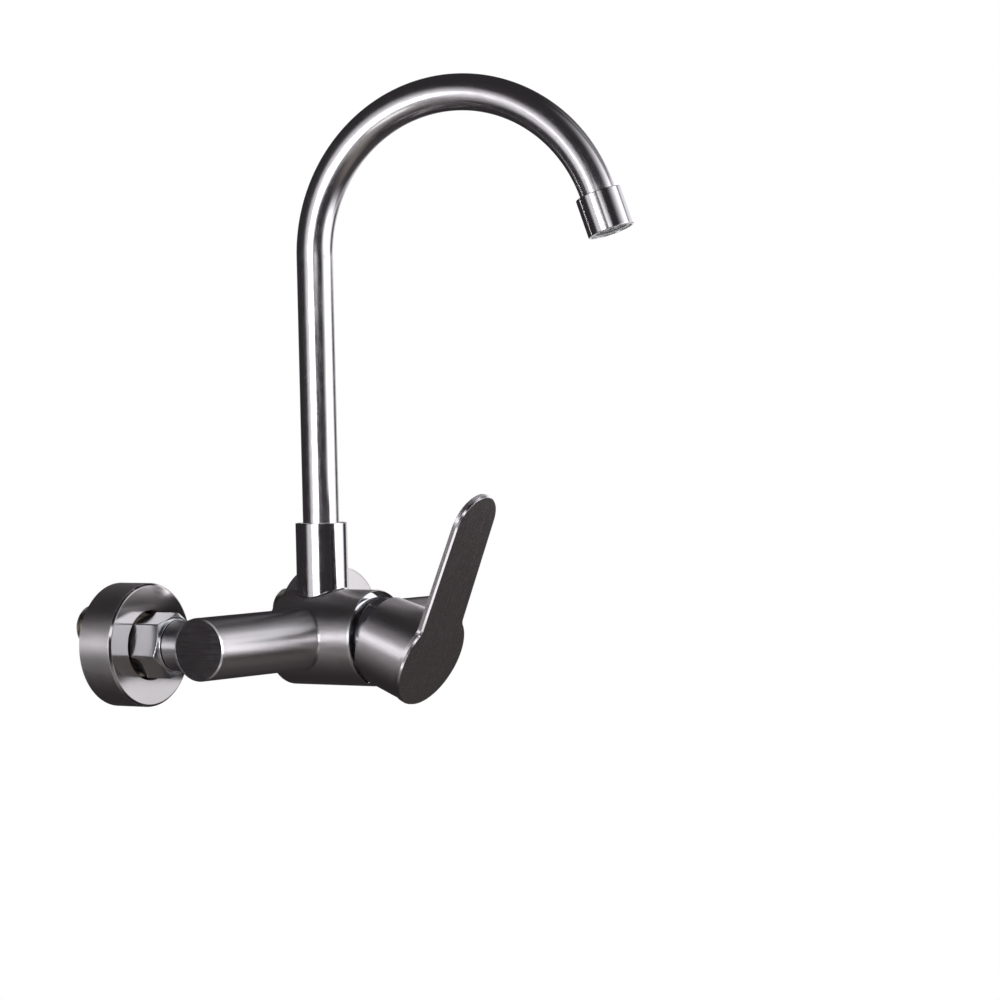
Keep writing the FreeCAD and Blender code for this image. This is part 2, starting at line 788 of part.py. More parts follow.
def make_moving_disc():
    body = new_body("moving_ceramic_disc")
    middle = disc_travel / 2
    turn(body, "moving_disc_form", box_outline(0, fixed_top, s.moving_disc_radius, moving_top),
         offset=beside(0, middle))
    recess = box_outline(0, fixed_top, s.mixing_recess, fixed_top + s.mixing_recess_depth)
    turn(body, "mixing_recess", recess, cut=True, offset=beside(0, middle - s.mixing_recess_drop))
    keep("moving_ceramic_disc", body, ROTOR_FRAME)


def make_disc_carrier():
    body = new_body("disc_carrier")
    turn(body, "carrier_form", box_outline(0, moving_top, s.moving_disc_radius, carrier_top),
         offset=beside(0, disc_travel / 2))
    pocket = box_outline(0, moving_top, s.tip_radius + s.tip_gap, carrier_top)
    turn(body, "tip_pocket", pocket, cut=True, offset=beside(0, disc_travel))
    keep("disc_carrier", body, ROTOR_FRAME)


def make_rotor():
    body = new_body("cartridge_rotor")
    flange = housing_bore - s.inner_gap
    nose = pivot + s.rotor_nose
    turn(body, "rotor_form", [(0, rotor_rear), (flange, rotor_rear), (flange, rotor_step),
                              (s.rotor_radius, rotor_step), (s.rotor_radius, nose), (0, nose)])
    half = s.stem_width / 2 + s.rotor_slot_gap
    slot = box_outline(-half, -s.rotor_slot_down, half, s.rotor_slot_up)
    extrude(body, "stem_slot", [slot], nose - rotor_rear, cut=True, offset=place(0, 0, rotor_rear))
    hole = box_outline(-s.rotor_radius, 0, s.rotor_radius, s.pin_radius + s.pin_gap)
    turn(body, "pin_hole", hole, cut=True, axis="H_Axis", offset=place(0, pivot, 0))
    keep("cartridge_rotor", body, ROTOR_FRAME)


def make_pivot_pin():
    half = s.rotor_radius - s.pin_inset
    turned_piece("pivot_pin", [
        (0, -half), (s.pin_radius - s.pin_edge, -half), (s.pin_radius, s.pin_edge - half),
        (s.pin_radius, half - s.pin_edge), (s.pin_radius - s.pin_edge, half), (0, half)],
        ROTOR_FRAME, place(0, 0, pivot, about(Y_AXIS, QUARTER)))


def make_housing():
    turned_piece("cartridge_housing", [
        (housing_bore, base_step), (s.housing_radius, base_step), (s.housing_radius, nut_seat),
        (housing_neck, nut_seat), (housing_neck, housing_top), (neck_bore, housing_top),
        (neck_bore, housing_step), (housing_bore, housing_step)], wall_frame())


def make_cartridge_nut():
    body = new_body("cartridge_nut")
    skirt = s.housing_radius + s.cartridge_gap
    skirt_start = nut_seat - s.cartridge_nut_skirt
    collar_end = mouth_floor + s.collar_height
    groove_start = mouth_floor + s.trim_seal_offset
    groove_end = groove_start + s.trim_seal_width
    floor = s.collar_radius - s.trim_seal_depth
    turn(body, "cartridge_nut_form", [
        (skirt, skirt_start), (s.cartridge_nut_radius, skirt_start), (s.cartridge_nut_radius, mouth_floor),
        (s.collar_radius, mouth_floor), (s.collar_radius, groove_start), (floor, groove_start),
        (floor, groove_end), (s.collar_radius, groove_end), (s.collar_radius, collar_end),
        (nut_bore, collar_end), (nut_bore, nut_seat), (skirt, nut_seat)])
    half = s.notch_width / 2
    notch = box_outline(housing_neck, -half, s.collar_radius + s.cut_margin, half)
    cut = extrude(body, "spanner_notch", [notch], s.notch_depth, cut=True, forward=False,
                  offset=place(0, 0, collar_end))
    repeat_round(body, cut, s.notch_count)
    keep("cartridge_nut", body, wall_frame())


def make_trim():
    level = mouth_floor + s.trim_seal_offset + s.trim_seal_width / 2
    floor = s.collar_radius - s.trim_seal_depth
    oring("trim_seal", floor + s.seal_gap, trim_bore - s.seal_gap, wall_frame(), place(0, 0, level))
    ball, inner = s.ball_radius, s.ball_radius - s.ball_wall
    flange = s.mouth_radius - s.trim_flange_gap
    turned_piece("trim_dome", [
        (trim_bore, mouth_floor), (flange, mouth_floor), (flange, mouth_floor + s.trim_flange),
        (trim_radius, mouth_floor + s.trim_flange), (trim_radius, pivot - leg(ball, trim_radius), ball),
        (s.ball_opening, pivot + leg(ball, s.ball_opening)),
        (s.ball_opening, pivot + leg(inner, s.ball_opening), -inner),
        (trim_bore, pivot - leg(inner, trim_bore))], wall_frame())


make_cartridge_base()
make_port_seals()
make_fixed_disc()
make_moving_disc()
make_disc_carrier()
make_rotor()
make_pivot_pin()
make_housing()
make_cartridge_nut()
make_trim()


# Lever

def blade_outline():
    """Head circle and blade, joined by concave blends, from the right of the blade's root."""
    rise = s.plate_rise
    blend_x = s.blade_half_width + s.blade_blend
    blend_y = leg(s.head_radius + s.blade_blend, blend_x)
    share = s.head_radius / (s.head_radius + s.blade_blend)
    tip_y = rise + s.blade_reach - s.blade_tip_radius
    top = rise + s.blade_reach
    low = rise - s.head_radius
    head, blend, tip = s.head_radius, s.blade_blend, s.blade_tip_radius
    return [
        (s.blade_half_width, rise + blend_y), (tip, tip_y, tip), (0, top, tip), (-tip, tip_y),
        (-s.blade_half_width, rise + blend_y, -blend), (-(blend_x * share), rise + blend_y * share, head),
        (-head, rise, head), (0, low, head), (head, rise, head),
        (blend_x * share, rise + blend_y * share, -blend)]


def make_handle():
    body = new_body("lever_handle")
    lean = about(X_AXIS, s.plate_lean_angle)
    slope = (s.cap_front_radius - s.cap_rear_radius) / (s.plate_distance - s.cap_start)
    end = s.plate_distance + s.head_radius * tangent(s.plate_lean_angle) + s.cut_margin
    end_radius = s.cap_rear_radius + slope * (end - s.cap_start)
    turn(body, "cap", [
        (s.cap_rear_radius - s.cap_wall, s.cap_start), (s.cap_rear_radius - s.cap_edge, s.cap_start),
        (s.cap_rear_radius, s.cap_start + s.cap_edge), (end_radius, end), (end_radius - s.cap_wall, end)])
    behind = s.plate_distance - s.plate_thickness / 2
    extrude(body, "cap_trim", [Circle(s.head_radius * 2)], end, cut=True, offset=place(0, 0, behind, lean))
    extrude(body, "plate", [blade_outline()], s.plate_thickness, forward=False,
            offset=place(0, 0, s.plate_distance, lean))
    normal = FreeCAD.Vector(0, -sine(s.plate_lean_angle).value, cosine(s.plate_lean_angle).value)
    front = FreeCAD.Vector(0, 0, s.plate_distance.value)

    def on_front(edge):
        middle = edge.valueAt((edge.FirstParameter + edge.LastParameter) / 2)
        ends = [vertex.Point for vertex in edge.Vertexes]
        return all(abs((point - front).dot(normal)) < 1e-4 for point in ends + [middle])

    dress(body, "plate_chamfer", "Chamfer", s.plate_edge, on_front)
    hub_start = s.ball_radius + s.hub_gap
    hub_end = s.plate_distance - s.plate_thickness / 2
    turn(body, "hub", box_outline(0, hub_start, s.hub_radius, hub_end))
    half = s.stem_width / 2 + s.stem_gap
    socket_end = s.stem_front + s.stem_gap
    extrude(body, "stem_socket", [box_outline(-half, -half, half, half)], socket_end - hub_start, cut=True,
            offset=place(0, 0, hub_start))
    below = -(s.cap_front_radius + s.cut_margin * 2)
    step = (below - s.hub_radius) / 2
    hole = s.grub_radius + s.grub_gap
    turn(body, "grub_hole", [
        (below, 0), (0, 0), (0, hole), (step, hole), (step, s.access_radius), (below, s.access_radius)],
        cut=True, plane="YZ_Plane", axis="H_Axis", offset=place(0, s.handle_grub_distance, 0))
    keep("lever_handle", body, LEVER_FRAME)


def make_stem():
    width = s.stem_width
    length = s.stem_rear + s.stem_front
    block = solid("Box", "stem_block", {"Length": width, "Width": width, "Height": length},
                  place(-(width / 2), -(width / 2), -s.stem_rear))
    arm = solid("Cylinder", "stem_arm", {"Radius": s.arm_radius, "Height": arm_length},
                place(0, 0, -arm_length))
    tip = solid("Sphere", "stem_tip", {"Radius": s.tip_radius}, place(0, 0, -arm_length))
    joined = doc.addObject("Part::MultiFuse", "stem_joined")
    joined.Shapes = [block, arm, tip]
    joined.Refine = True
    eye = solid("Cylinder", "stem_eye", {"Radius": s.pin_radius + s.pin_gap, "Height": width * 2},
                place(-width, 0, 0, about(Y_AXIS, QUARTER)))
    stem = doc.addObject("Part::Cut", "lever_stem")
    stem.Base = joined
    stem.Tool = eye
    keep("lever_stem", stem, LEVER_FRAME)


def make_grub(label, length, *steps):
    """A socket set screw along z, with its tip at zero and its hexagon socket at the far end."""
    shank = solid("Cylinder", label + "_shank", {"Radius": s.grub_radius, "Height": length})
    key = doc.addObject("Part::Prism", label + "_key")
    key.Polygon = HEXAGON_SIDES
    key.setExpression("Circumradius", (s.grub_hex / 2 / cosine(HEXAGON_HALF)).text)
    key.setExpression("Height", (s.grub_hex_depth * 2).text)
    key.setExpression("Placement", place(0, 0, length - s.grub_hex_depth))
    screw = doc.addObject("Part::Cut", label)
    screw.Base = shank
    screw.Tool = key
    keep(label, screw, *steps)


make_handle()
make_stem()
make_grub("handle_screw", s.handle_grub_length, LEVER_FRAME,
          place(0, -(s.stem_width / 2), s.handle_grub_distance, about(X_AXIS, QUARTER)))


# Spout

def make_spout_tube():
    body = new_body("spout_tube")
    start = foot_top - s.foot_insertion
    ring = [Circle(s.spout_radius), Circle(s.spout_radius - s.spout_wall)]
    section = draw(body, "spout_section", ring, "XY_Plane", place(0, 0, start))
    end_x = arch_end_x + s.spout_end_length * sine(s.arch_sweep_angle)
    end_z = arch_end_z + s.spout_end_length * cosine(s.arch_sweep_angle)
    top_x, top_z = s.arch_radius, s.spout_rise + s.arch_radius
    arch = -s.arch_radius
    path = draw(body, "spout_path", [[
        (0, start), (0, s.spout_rise, arch), (top_x, top_z, arch), (arch_end_x, arch_end_z),
        (end_x, end_z)]], closed=False)
    pipe = body.newObject("PartDesign::AdditivePipe", "spout_pipe")
    pipe.Profile = section
    pipe.Spine = (path, [])
    body.Tip = pipe
    doc.recompute()
    keep("spout_tube", body, SPOUT_FRAME)
    length = path.Shape.Length
    bore = (s.spout_radius - s.spout_wall).value
    print("spout length", round(length, 2), "volume", round(body.Shape.Volume, 1),
          "section by length", round(math.pi * (s.spout_radius.value ** 2 - bore ** 2) * length, 1))


def make_spout_foot():
    floor = s.foot_radius - s.oring_groove_depth
    low = s.spout_grub_height - s.spout_groove_width / 2
    high = s.spout_grub_height + s.spout_groove_width / 2
    pocket = s.spout_radius + s.joint_gap
    outline = [(s.foot_bore, foot_bottom), (s.foot_radius, foot_bottom)]
    for number in range(2):
        middle = s.oring_height + s.oring_pitch * number
        bottom, top = middle - s.oring_groove_width / 2, middle + s.oring_groove_width / 2
        outline += [(s.foot_radius, bottom), (floor, bottom), (floor, top), (s.foot_radius, top)]
    outline += [(s.foot_radius, low), (groove_floor, low), (groove_floor, high), (s.foot_radius, high)]
    outline += [(s.foot_radius, foot_top), (pocket, foot_top), (pocket, foot_top - s.foot_insertion),
                (s.foot_bore, foot_top - s.foot_insertion)]
    turned_piece("spout_foot", outline, SPOUT_FRAME)


def make_spout_rings():
    inner, outer = s.foot_radius - s.oring_groove_depth + s.seal_gap, socket_bore - s.oring_gap
    sizes = {"Radius1": (inner + outer) / 2, "Radius2": (outer - inner) / 2}
    levels = [s.oring_height + s.oring_pitch * number for number in range(2)]
    rings = [solid("Torus", f"spout_oring_{number}", sizes, place(0, 0, level))
             for number, level in enumerate(levels)]
    pair = doc.addObject("Part::MultiFuse", "spout_orings")
    pair.Shapes = rings
    keep("spout_orings", pair, SPOUT_FRAME)
    inside = s.spout_radius + s.slip_ring_gap
    turned_piece("slip_ring", box_outline(inside, foot_top, s.foot_radius, s.socket_top), SPOUT_FRAME)


make_spout_tube()
make_spout_foot()
make_spout_rings()
grub_tip = s.tube_distance - groove_floor - s.grub_gap
make_grub("spout_screw", s.spout_grub_length, wall_frame(),
          place(0, s.spout_grub_height, grub_tip, about(X_AXIS, HALF_TURN)))


# Outlet, with z from the end of the arch towards the mouth

shoulder_top = s.spout_end_length
washer_top = shoulder_top + s.outlet_shoulder
shell_top = washer_top + s.aerator_washer_thickness
shell_bottom = s.outlet_length - s.shell_recess
lip_top = shell_bottom - s.shell_lip
screen_top = lip_top - s.screen_thickness
shell_bore = s.shell_radius - s.shell_wall
core_radius = shell_bore - s.aerator_gap


def make_outlet_collar():
    thread = s.shell_radius + s.thread_gap
    tube = s.spout_radius + s.joint_gap
    passage = s.spout_radius - s.spout_wall
    edge = s.outlet_edge
    turned_piece("outlet_collar", [
        (tube, 0), (s.outlet_radius - edge, 0), (s.outlet_radius, edge),
        (s.outlet_radius, s.outlet_length - edge),
        (s.outlet_radius - edge, s.outlet_length), (thread, s.outlet_length), (thread, washer_top),
        (passage, washer_top), (passage, shoulder_top), (tube, shoulder_top)], OUTLET_FRAME)


def make_aerator():
    hole = s.spout_radius - s.spout_wall
    turned_piece("aerator_washer", box_outline(hole, washer_top, s.shell_radius, shell_top), OUTLET_FRAME)
    lip = shell_bore - s.shell_lip
    turned_piece("aerator_shell", [
        (shell_bore, shell_top), (s.shell_radius, shell_top), (s.shell_radius, shell_bottom),
        (lip, shell_bottom), (lip, lip_top), (shell_bore, lip_top)], OUTLET_FRAME)
    levels = (("aerator_core", shell_top, screen_top), ("aerator_screen", screen_top, lip_top))
    for label, top, bottom in levels:
        body = new_body(label)
        at_top = place(0, 0, top)
        extrude(body, label + "_disc", [Circle(core_radius)], bottom - top, offset=at_top)
        jet = extrude(body, label + "_jet", [Circle(s.jet_radius, s.jet_circle, 0)], bottom - top, cut=True,
                      offset=at_top)
        repeat_round(body, jet, s.jet_count)
        extrude(body, label + "_middle_jet", [Circle(s.jet_radius * 2)], bottom - top, cut=True,
                offset=at_top)
        keep(label, body, OUTLET_FRAME)


make_outlet_collar()
make_aerator()


# Checks and export

doc.recompute()
for item in doc.Objects:
    if "Invalid" in item.State or "Error" in item.State:
        raise RuntimeError(f"{item.Name} has failed: {item.State}")
for label, item in pieces.items():
    if item.Shape.isNull() or not item.Shape.isValid() or not item.Shape.Solids:
        raise RuntimeError(f"{label} has no sound solid")

os.makedirs("parts", exist_ok=True)
for label, item in pieces.items():
    item.Shape.exportStep(f"parts/{label}.step")
print(len(pieces), "sub-parts,", sum(len(item.Shape.Solids) for item in pieces.values()), "solids")
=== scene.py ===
import json
import math
import bpy
import numpy as np
from mathutils import Matrix, Vector

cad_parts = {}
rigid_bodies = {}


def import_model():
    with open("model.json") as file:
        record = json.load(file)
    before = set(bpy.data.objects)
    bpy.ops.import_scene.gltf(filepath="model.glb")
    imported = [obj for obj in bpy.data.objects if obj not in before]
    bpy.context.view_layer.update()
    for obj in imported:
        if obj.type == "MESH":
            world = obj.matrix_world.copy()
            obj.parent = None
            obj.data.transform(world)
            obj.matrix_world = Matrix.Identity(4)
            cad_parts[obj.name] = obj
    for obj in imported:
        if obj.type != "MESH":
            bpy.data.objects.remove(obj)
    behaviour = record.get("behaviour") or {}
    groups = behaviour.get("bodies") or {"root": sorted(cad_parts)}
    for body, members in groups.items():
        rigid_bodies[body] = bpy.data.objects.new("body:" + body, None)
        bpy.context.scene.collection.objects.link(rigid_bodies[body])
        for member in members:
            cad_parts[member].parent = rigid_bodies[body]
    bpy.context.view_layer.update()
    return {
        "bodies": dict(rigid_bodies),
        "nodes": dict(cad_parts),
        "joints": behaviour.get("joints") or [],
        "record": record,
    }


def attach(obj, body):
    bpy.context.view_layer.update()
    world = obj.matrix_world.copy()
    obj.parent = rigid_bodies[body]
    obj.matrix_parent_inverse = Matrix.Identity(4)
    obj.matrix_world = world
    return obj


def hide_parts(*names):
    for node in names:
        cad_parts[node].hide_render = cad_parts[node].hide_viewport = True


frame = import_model()

# Sizes in millimetres and angles in degrees. In the wall's frame x is to the right, y up, z out of it

MM = 0.001
FULL = 2 * math.pi
WELD_GRID = 1e-4
SOFT_EDGE = 0.12
# power that crowds the rows of a sheet towards its hole
HOLE_CROWDING = 0.8

AXIS_DROP = 8.0
INLET_X = 75.0
ESCUTCHEON_RADIUS = 29.9
ESCUTCHEON_DEPTH = 19.6
ESCUTCHEON_WALL = 1.2
ESCUTCHEON_EDGE = 1.1
ESCUTCHEON_HOLE = 16.8
SLEEVE_RADIUS = 17.8
SLEEVE_START = 7.6

NUT_FLAT = 14.0
NUT_TURN = 17.4
NUT_START = 18.5
NUT_END = 35.3
NUT_FRONT = 36.3
NUT_CORNER_CUT = 1.2
NUT_CONE_REACH = 2.2
# exponent that rounds the hexagon, and sharpness of its blend with the cones
NUT_ROUNDING = 70
NUT_BLEND = 12.0
NUT_COLLAR_RADIUS = 13.0
NUT_HOLE = 10.5
NUT_BORE = 13.3
FLANGE_END = 31.5

WALL_THREAD_RADIUS = 10.48
WALL_THREAD_END = -20.0
THREAD_PITCH = 1.814
THREAD_DEPTH = 1.16
THREAD_ENTRY = 1.2
THREAD_RUNOUT = -1.0
# height and shift of the thread's triangle wave, which is cut flat below 0 and above 1
THREAD_STEEPNESS = 1.3
THREAD_FLAT = 0.15
WALL_BORE_DEPTH = 18.0
SHOULDER_START = 1.5
SHOULDER_END = 15.0
SHOULDER_RADIUS = 15.6
UNION_THREAD_RADIUS = 13.2
UNION_END = 27.2
UNION_BORE = 6.0
UNION_BORE_DEPTH = 8.0
RING_GROOVE = (9.0, 11.6, 14.4)

TUBE_DISTANCE = 66.2
TUBE_RADIUS = 15.1
TUBE_BORE = 13.6
TUBE_END = 92.0
TUBE_CORE = 26.0
CAP_THICKNESS = 2.5
CAP_EDGE = 0.9
CAP_EDGE_DEPTH = 0.4
CAP_SPIGOT = 3.0
SPIGOT_GAP = 0.1
SPIGOT_WALL = 2.0
NECK_RADIUS = 12.3
NECK_START = 36.8
NECK_BORE = 10.3
NECK_DEPTH = 46.5
NECK_WINDOW = 18.0
VALVE_RADIUS = 23.5
VALVE_REAR = 48.8
VALVE_REAR_EDGE = 0.8
RIM = 99.9
RIM_EDGE = 1.0
RIM_CHAMFER = 0.4
MOUTH_RADIUS = 22.35
MOUTH_FLOOR = 94.0
MOUTH_RELIEF = 0.6
RELIEF_START = 98.2
THREAD_BORE = 19.0
THREAD_FLOOR = 86.5
CARTRIDGE_BORE = 17.6
CARTRIDGE_SEAT = 72.0
SOCKET_RADIUS = 12.65
SOCKET_TOP = 56.0
SOCKET_EDGE = 0.3
SOCKET_BORE = 10.6
SOCKET_FLOOR = 25.0
GRUB_HEIGHT = 44.0
GRUB_HOLE = 2.6
GRUB_WINDOW = 7.0
GRUB_BREAKTHROUGH = 0.5
WELD_RADIUS = 1.2

PIVOT = 101.9
TRIM_FLANGE = 22.2
TRIM_FLANGE_THICKNESS = 1.0
TRIM_RADIUS = 18.9
TRIM_BORE = 18.2
BALL_RADIUS = 20.1
BALL_WALL = 1.2
BALL_OPENING = 13.5

LEVER_TURN = -6.6
LEVER_TILT = 20.0
CAP_START = 0.9
CAP_REAR_RADIUS = 21.7
CAP_FRONT_RADIUS = 23.3
CAP_WALL = 1.3
CAP_RIM_EDGE = 0.3
CAP_TOP_GAP = 0.1
PLATE_DISTANCE = 31.3
PLATE_LEAN = 7.0
PLATE_THICKNESS = 3.0
PLATE_EDGE = 0.5
PLATE_CHAMFER = 1.0
PLATE_INSET = 1.2
PLATE_RISE = 0.4
HEAD_RADIUS = 24.3
BLADE_HALF = 16.5
TIP_RADIUS = 15.3
BLADE_REACH = 89.3
BLADE_BLEND = 5.0
HUB_RADIUS = 8.0
HUB_START = 20.7
ACCESS_DISTANCE = 24.4
ACCESS_RADIUS = 2.9
ACCESS_FLOOR = 14.0

SPOUT_TURN = 13.7
SPOUT_RADIUS = 8.9
SPOUT_BORE = 7.9
SPOUT_START = 48.5
SPOUT_RISE = 186.2
ARCH_RADIUS = 76.7
ARCH_SWEEP = 161.0
SPOUT_END = 6.0
SPOUT_STOP = 4.0
OUTLET_RADIUS = 11.4
OUTLET_LENGTH = 19.0
OUTLET_EDGE = 0.4
OUTLET_THREAD = 10.1
SHELL_RADIUS = 10.0
SHELL_TOP = 9.1
SHELL_BOTTOM = 18.6
SHELL_BORE = 8.4
SHELL_LIP = 7.8
LIP_TOP = 18.0
WASHER_TOP = 7.5


# Frames

def at(x, y, z):
    """A 4 by 4 frame moved to (x, y, z)."""
    frame = np.eye(4)
    frame[:3, 3] = (x, y, z)
    return frame


def about(axis, degrees):
    """A 4 by 4 frame turned about the axis X, Y or Z."""
    return np.array(Matrix.Rotation(math.radians(degrees), 4, axis))


def frame_of(x, y, z, middle):
    """A 4 by 4 frame from its three axes and its origin."""
    frame = np.eye(4)
    frame[:3] = np.column_stack([x, y, z, middle])
    return frame


WALL = at(0, 0, -AXIS_DROP) @ about("X", 90)
LEVER = at(0, -PIVOT, -AXIS_DROP) @ about("Y", LEVER_TURN) @ about("X", 90 + LEVER_TILT)
SPOUT = at(0, -TUBE_DISTANCE, -AXIS_DROP) @ about("Z", SPOUT_TURN - 90)
SWEEP = math.radians(ARCH_SWEEP)
ARCH_END = at(ARCH_RADIUS - ARCH_RADIUS * math.cos(SWEEP), 0, SPOUT_RISE + ARCH_RADIUS * math.sin(SWEEP))
OUTLET = SPOUT @ ARCH_END @ about("Y", ARCH_SWEEP)


# Surfaces

class Patch:
    """A grid of points with normals and a grain map, whose u crosses the grain and v follows it."""

    def __init__(self, points, normals, grain, finish=0):
        self.points = points
        self.normals = normals / np.linalg.norm(normals, axis=-1, keepdims=True)
        self.grain = grain
        self.finish = finish


def stack(*columns):
    """Joins arrays of one shape as the coordinates of points."""
    return np.stack(np.broadcast_arrays(*columns), axis=-1)


def polar(radius, angle, z):
    """Points at a radius and an angle about z, at height z."""
    return stack(radius * np.cos(angle), radius * np.sin(angle), z)


def moved(patches, frame):
    """The patches carried into another frame."""
    turn, shift = frame[:3, :3], frame[:3, 3]
    return [Patch(p.points @ turn.T + shift, p.normals @ turn.T, p.grain, p.finish) for p in patches]


def slopes(points, outward):
    """Normals of a grid: the cross product of its two slopes, turned to the outward side."""
    normals = np.cross(np.gradient(points, axis=1), np.gradient(points, axis=0))
    side = np.sign((normals * outward).sum(-1, keepdims=True))
    return normals * np.where(side == 0, 1, side)


def profile(corners, closed=True, steps=6):
    """Straight runs between corners (r, h) or (r, h, bend), with an arc at each corner.

    The walk keeps the material on its left. A straight run's normal is its direction
    turned a quarter to the right, and on an arc the normal turns evenly from one run
    to the next. Gives a list of (corner number, points, normals).
    """
    spots = np.array([corner[:2] for corner in corners], float)
    bends = [corner[2] if len(corner) > 2 else SOFT_EDGE for corner in corners]
    count = len(spots)
    starts, ends, arcs = spots.copy(), spots.copy(), {}
    for i in range(count):
        if not closed and i in (0, count - 1):
            continue
        before = spots[i] - spots[i - 1]
        after = spots[(i + 1) % count] - spots[i]
        room_before = 1.0 if i == 1 and not closed else 0.5
        room_after = 1.0 if i == count - 2 and not closed else 0.5
        limit = min(np.linalg.norm(before) * room_before, np.linalg.norm(after) * room_after)
        before, after = before / np.linalg.norm(before), after / np.linalg.norm(after)
        turn = math.atan2(before[0] * after[1] - before[1] * after[0], before @ after)
        if abs(turn) < 1e-6 or spots[i][0] == 0:
            continue
        reach = min(bends[i] * math.tan(abs(turn) / 2), limit)
        radius = reach / math.tan(abs(turn) / 2)
        side = math.copysign(1, turn)
        first = np.array([before[1], -before[0]])
        ends[i], starts[i] = spots[i] - before * reach, spots[i] + after * reach
        centre = ends[i] - side * radius * first
        swing = np.linspace(0, turn, steps + 1)
        normals = stack(first[0] * np.cos(swing) - first[1] * np.sin(swing),
                        first[0] * np.sin(swing) + first[1] * np.cos(swing))
        arcs[i] = (centre + side * radius * normals, normals)
    runs = []
    for i in range(count if closed else count - 1):
        here, there = starts[i], ends[(i + 1) % count]
        length = np.linalg.norm(there - here)
        if length > 1e-7:
            along = (there - here) / length
            normal = np.array([along[1], -along[0]])
            runs.append((i, np.array([here, there]), np.array([normal, normal])))
        if (i + 1) % count in arcs:
            runs.append((i, *arcs[(i + 1) % count]))
    return runs


def carried(runs, path, normals, lengths, planar=False, finish=0, finishes=None):
    """A profile carried along a path: (e, w) becomes path + normal * e at height w.

    The grain follows the path: its map is (distance along the profile, distance along the
    path). Where planar is set, the map of level runs is the plain (x, y).
    """
    patches, travelled = [], 0.0
    for number, points, sides in runs:
        steps = np.r_[0, np.cumsum(np.linalg.norm(np.diff(points, axis=0), axis=1))] + travelled
        travelled = steps[-1]
        e, w = points[:, 0, None], points[:, 1, None]
        away, level = sides[:, 0, None], sides[:, 1, None]
        spots = stack(path[:, 0] + normals[:, 0] * e, path[:, 1] + normals[:, 1] * e, w)
        facing = stack(normals[:, 0] * away, normals[:, 1] * away, level)
        flat = planar and np.all(np.abs(level) > 0.999)
        grain = spots[..., :2] if flat else stack(steps[:, None], lengths[None, :])
        patches.append(Patch(spots, facing, grain, (finishes or {}).get(number, finish)))
    return patches


def full_turn(count):
    """Angles of a whole turn, whose last is the first again, so that the ends weld."""
    angles = np.linspace(0, FULL, count)
    angles[-1] = 0
    return angles


def spun(corners, angles, lengths, closed=False, **options):
    """A profile (r, h) carried round the z axis at the given angles."""
    ring = stack(np.cos(angles), np.sin(angles))
    return carried(profile(corners, closed), ring * 0, ring, lengths, **options)


def turned(corners, closed=True, angles=None, columns=144, **options):
    """A profile (r, h) turned about the z axis, with its seam underneath where no angles are given."""
    if angles is None:
        angles = full_turn(columns + 1) - math.pi / 2
        spread = np.linspace(0, FULL, columns + 1)
    else:
        spread = angles - angles[0]
    radius = max(corner[0] for corner in corners)
    return spun(corners, angles, spread * radius, closed, **options)


def wavy_wall(radius, angles, heights, around):
    """A wall round z whose radius changes with angle and height, smooth across its seam."""
    points = polar(radius, angles, heights)
    normals = slopes(points, polar(1, angles, 0 * heights))
    normals[:, 0] = normals[:, -1] = normals[:, 0] + normals[:, -1]
    return Patch(points, normals, stack(heights, angles * around))


def border(us, low, high):
    """The outline of a rectangle, walked from its right side's middle, up first.

    us falls from the right side to the left. low climbs to the middle level and high
    goes on from it, and both sides share these levels, so neighbours meet point to point.
    """
    levels = np.concatenate([low, high[1:]])
    right, left = us[0], us[-1]
    return np.concatenate([
        stack(right, high), stack(us[1:], high[-1]), stack(left, levels[::-1][1:]),
        stack(us[::-1][1:], low[0]), stack(right, low[1:])])


def holed(outer, level, curve, rows=8):
    """A sheet with a hole: straight lines from its border to the hole's curve.

    curve(t) gives the hole's edge, and each border point takes the t of its own direction
    about the hole's middle at (0, level).
    """
    t = np.unwrap(np.arctan2(outer[:, 1] - level, outer[:, 0]))
    t[0], t[-1] = 0.0, FULL
    inner = curve(t)
    inner[-1] = inner[0]
    share = (np.linspace(0, 1, rows + 1) ** HOLE_CROWDING)[:, None, None]
    return outer + (inner - outer) * share, t


def drilled(radius, hole, level):
    """The edge of a hole drilled across a cylinder, as a curve in its unrolled wall.

    At angle s it lies at (radius * asin(hole * cos(s) / radius), level + hole * sin(s)).
    """
    def edge(s):
        return stack(radius * np.arcsin(hole * np.cos(s) / radius), level + hole * np.sin(s))

    return edge


def on_cylinder(radius, u, v, centre=0.0):
    """Points of a cylinder about z at arc length u from the angle centre, at height v."""
    angle = centre + u / radius
    return polar(radius, angle, v), polar(1, angle, 0 * v)


# Meshes

def placed(name, data):
    """A new object of the scene that shows the data."""
    thing = bpy.data.objects.new(name, data)
    bpy.context.scene.collection.objects.link(thing)
    return thing


def grid_quads(rows, columns):
    """Corner numbers of the faces between the points of a grid."""
    index = np.arange(rows * columns).reshape(rows, columns)
    return np.stack([index[:-1, :-1], index[1:, :-1], index[1:, 1:], index[:-1, 1:]], -1).reshape(-1, 4)


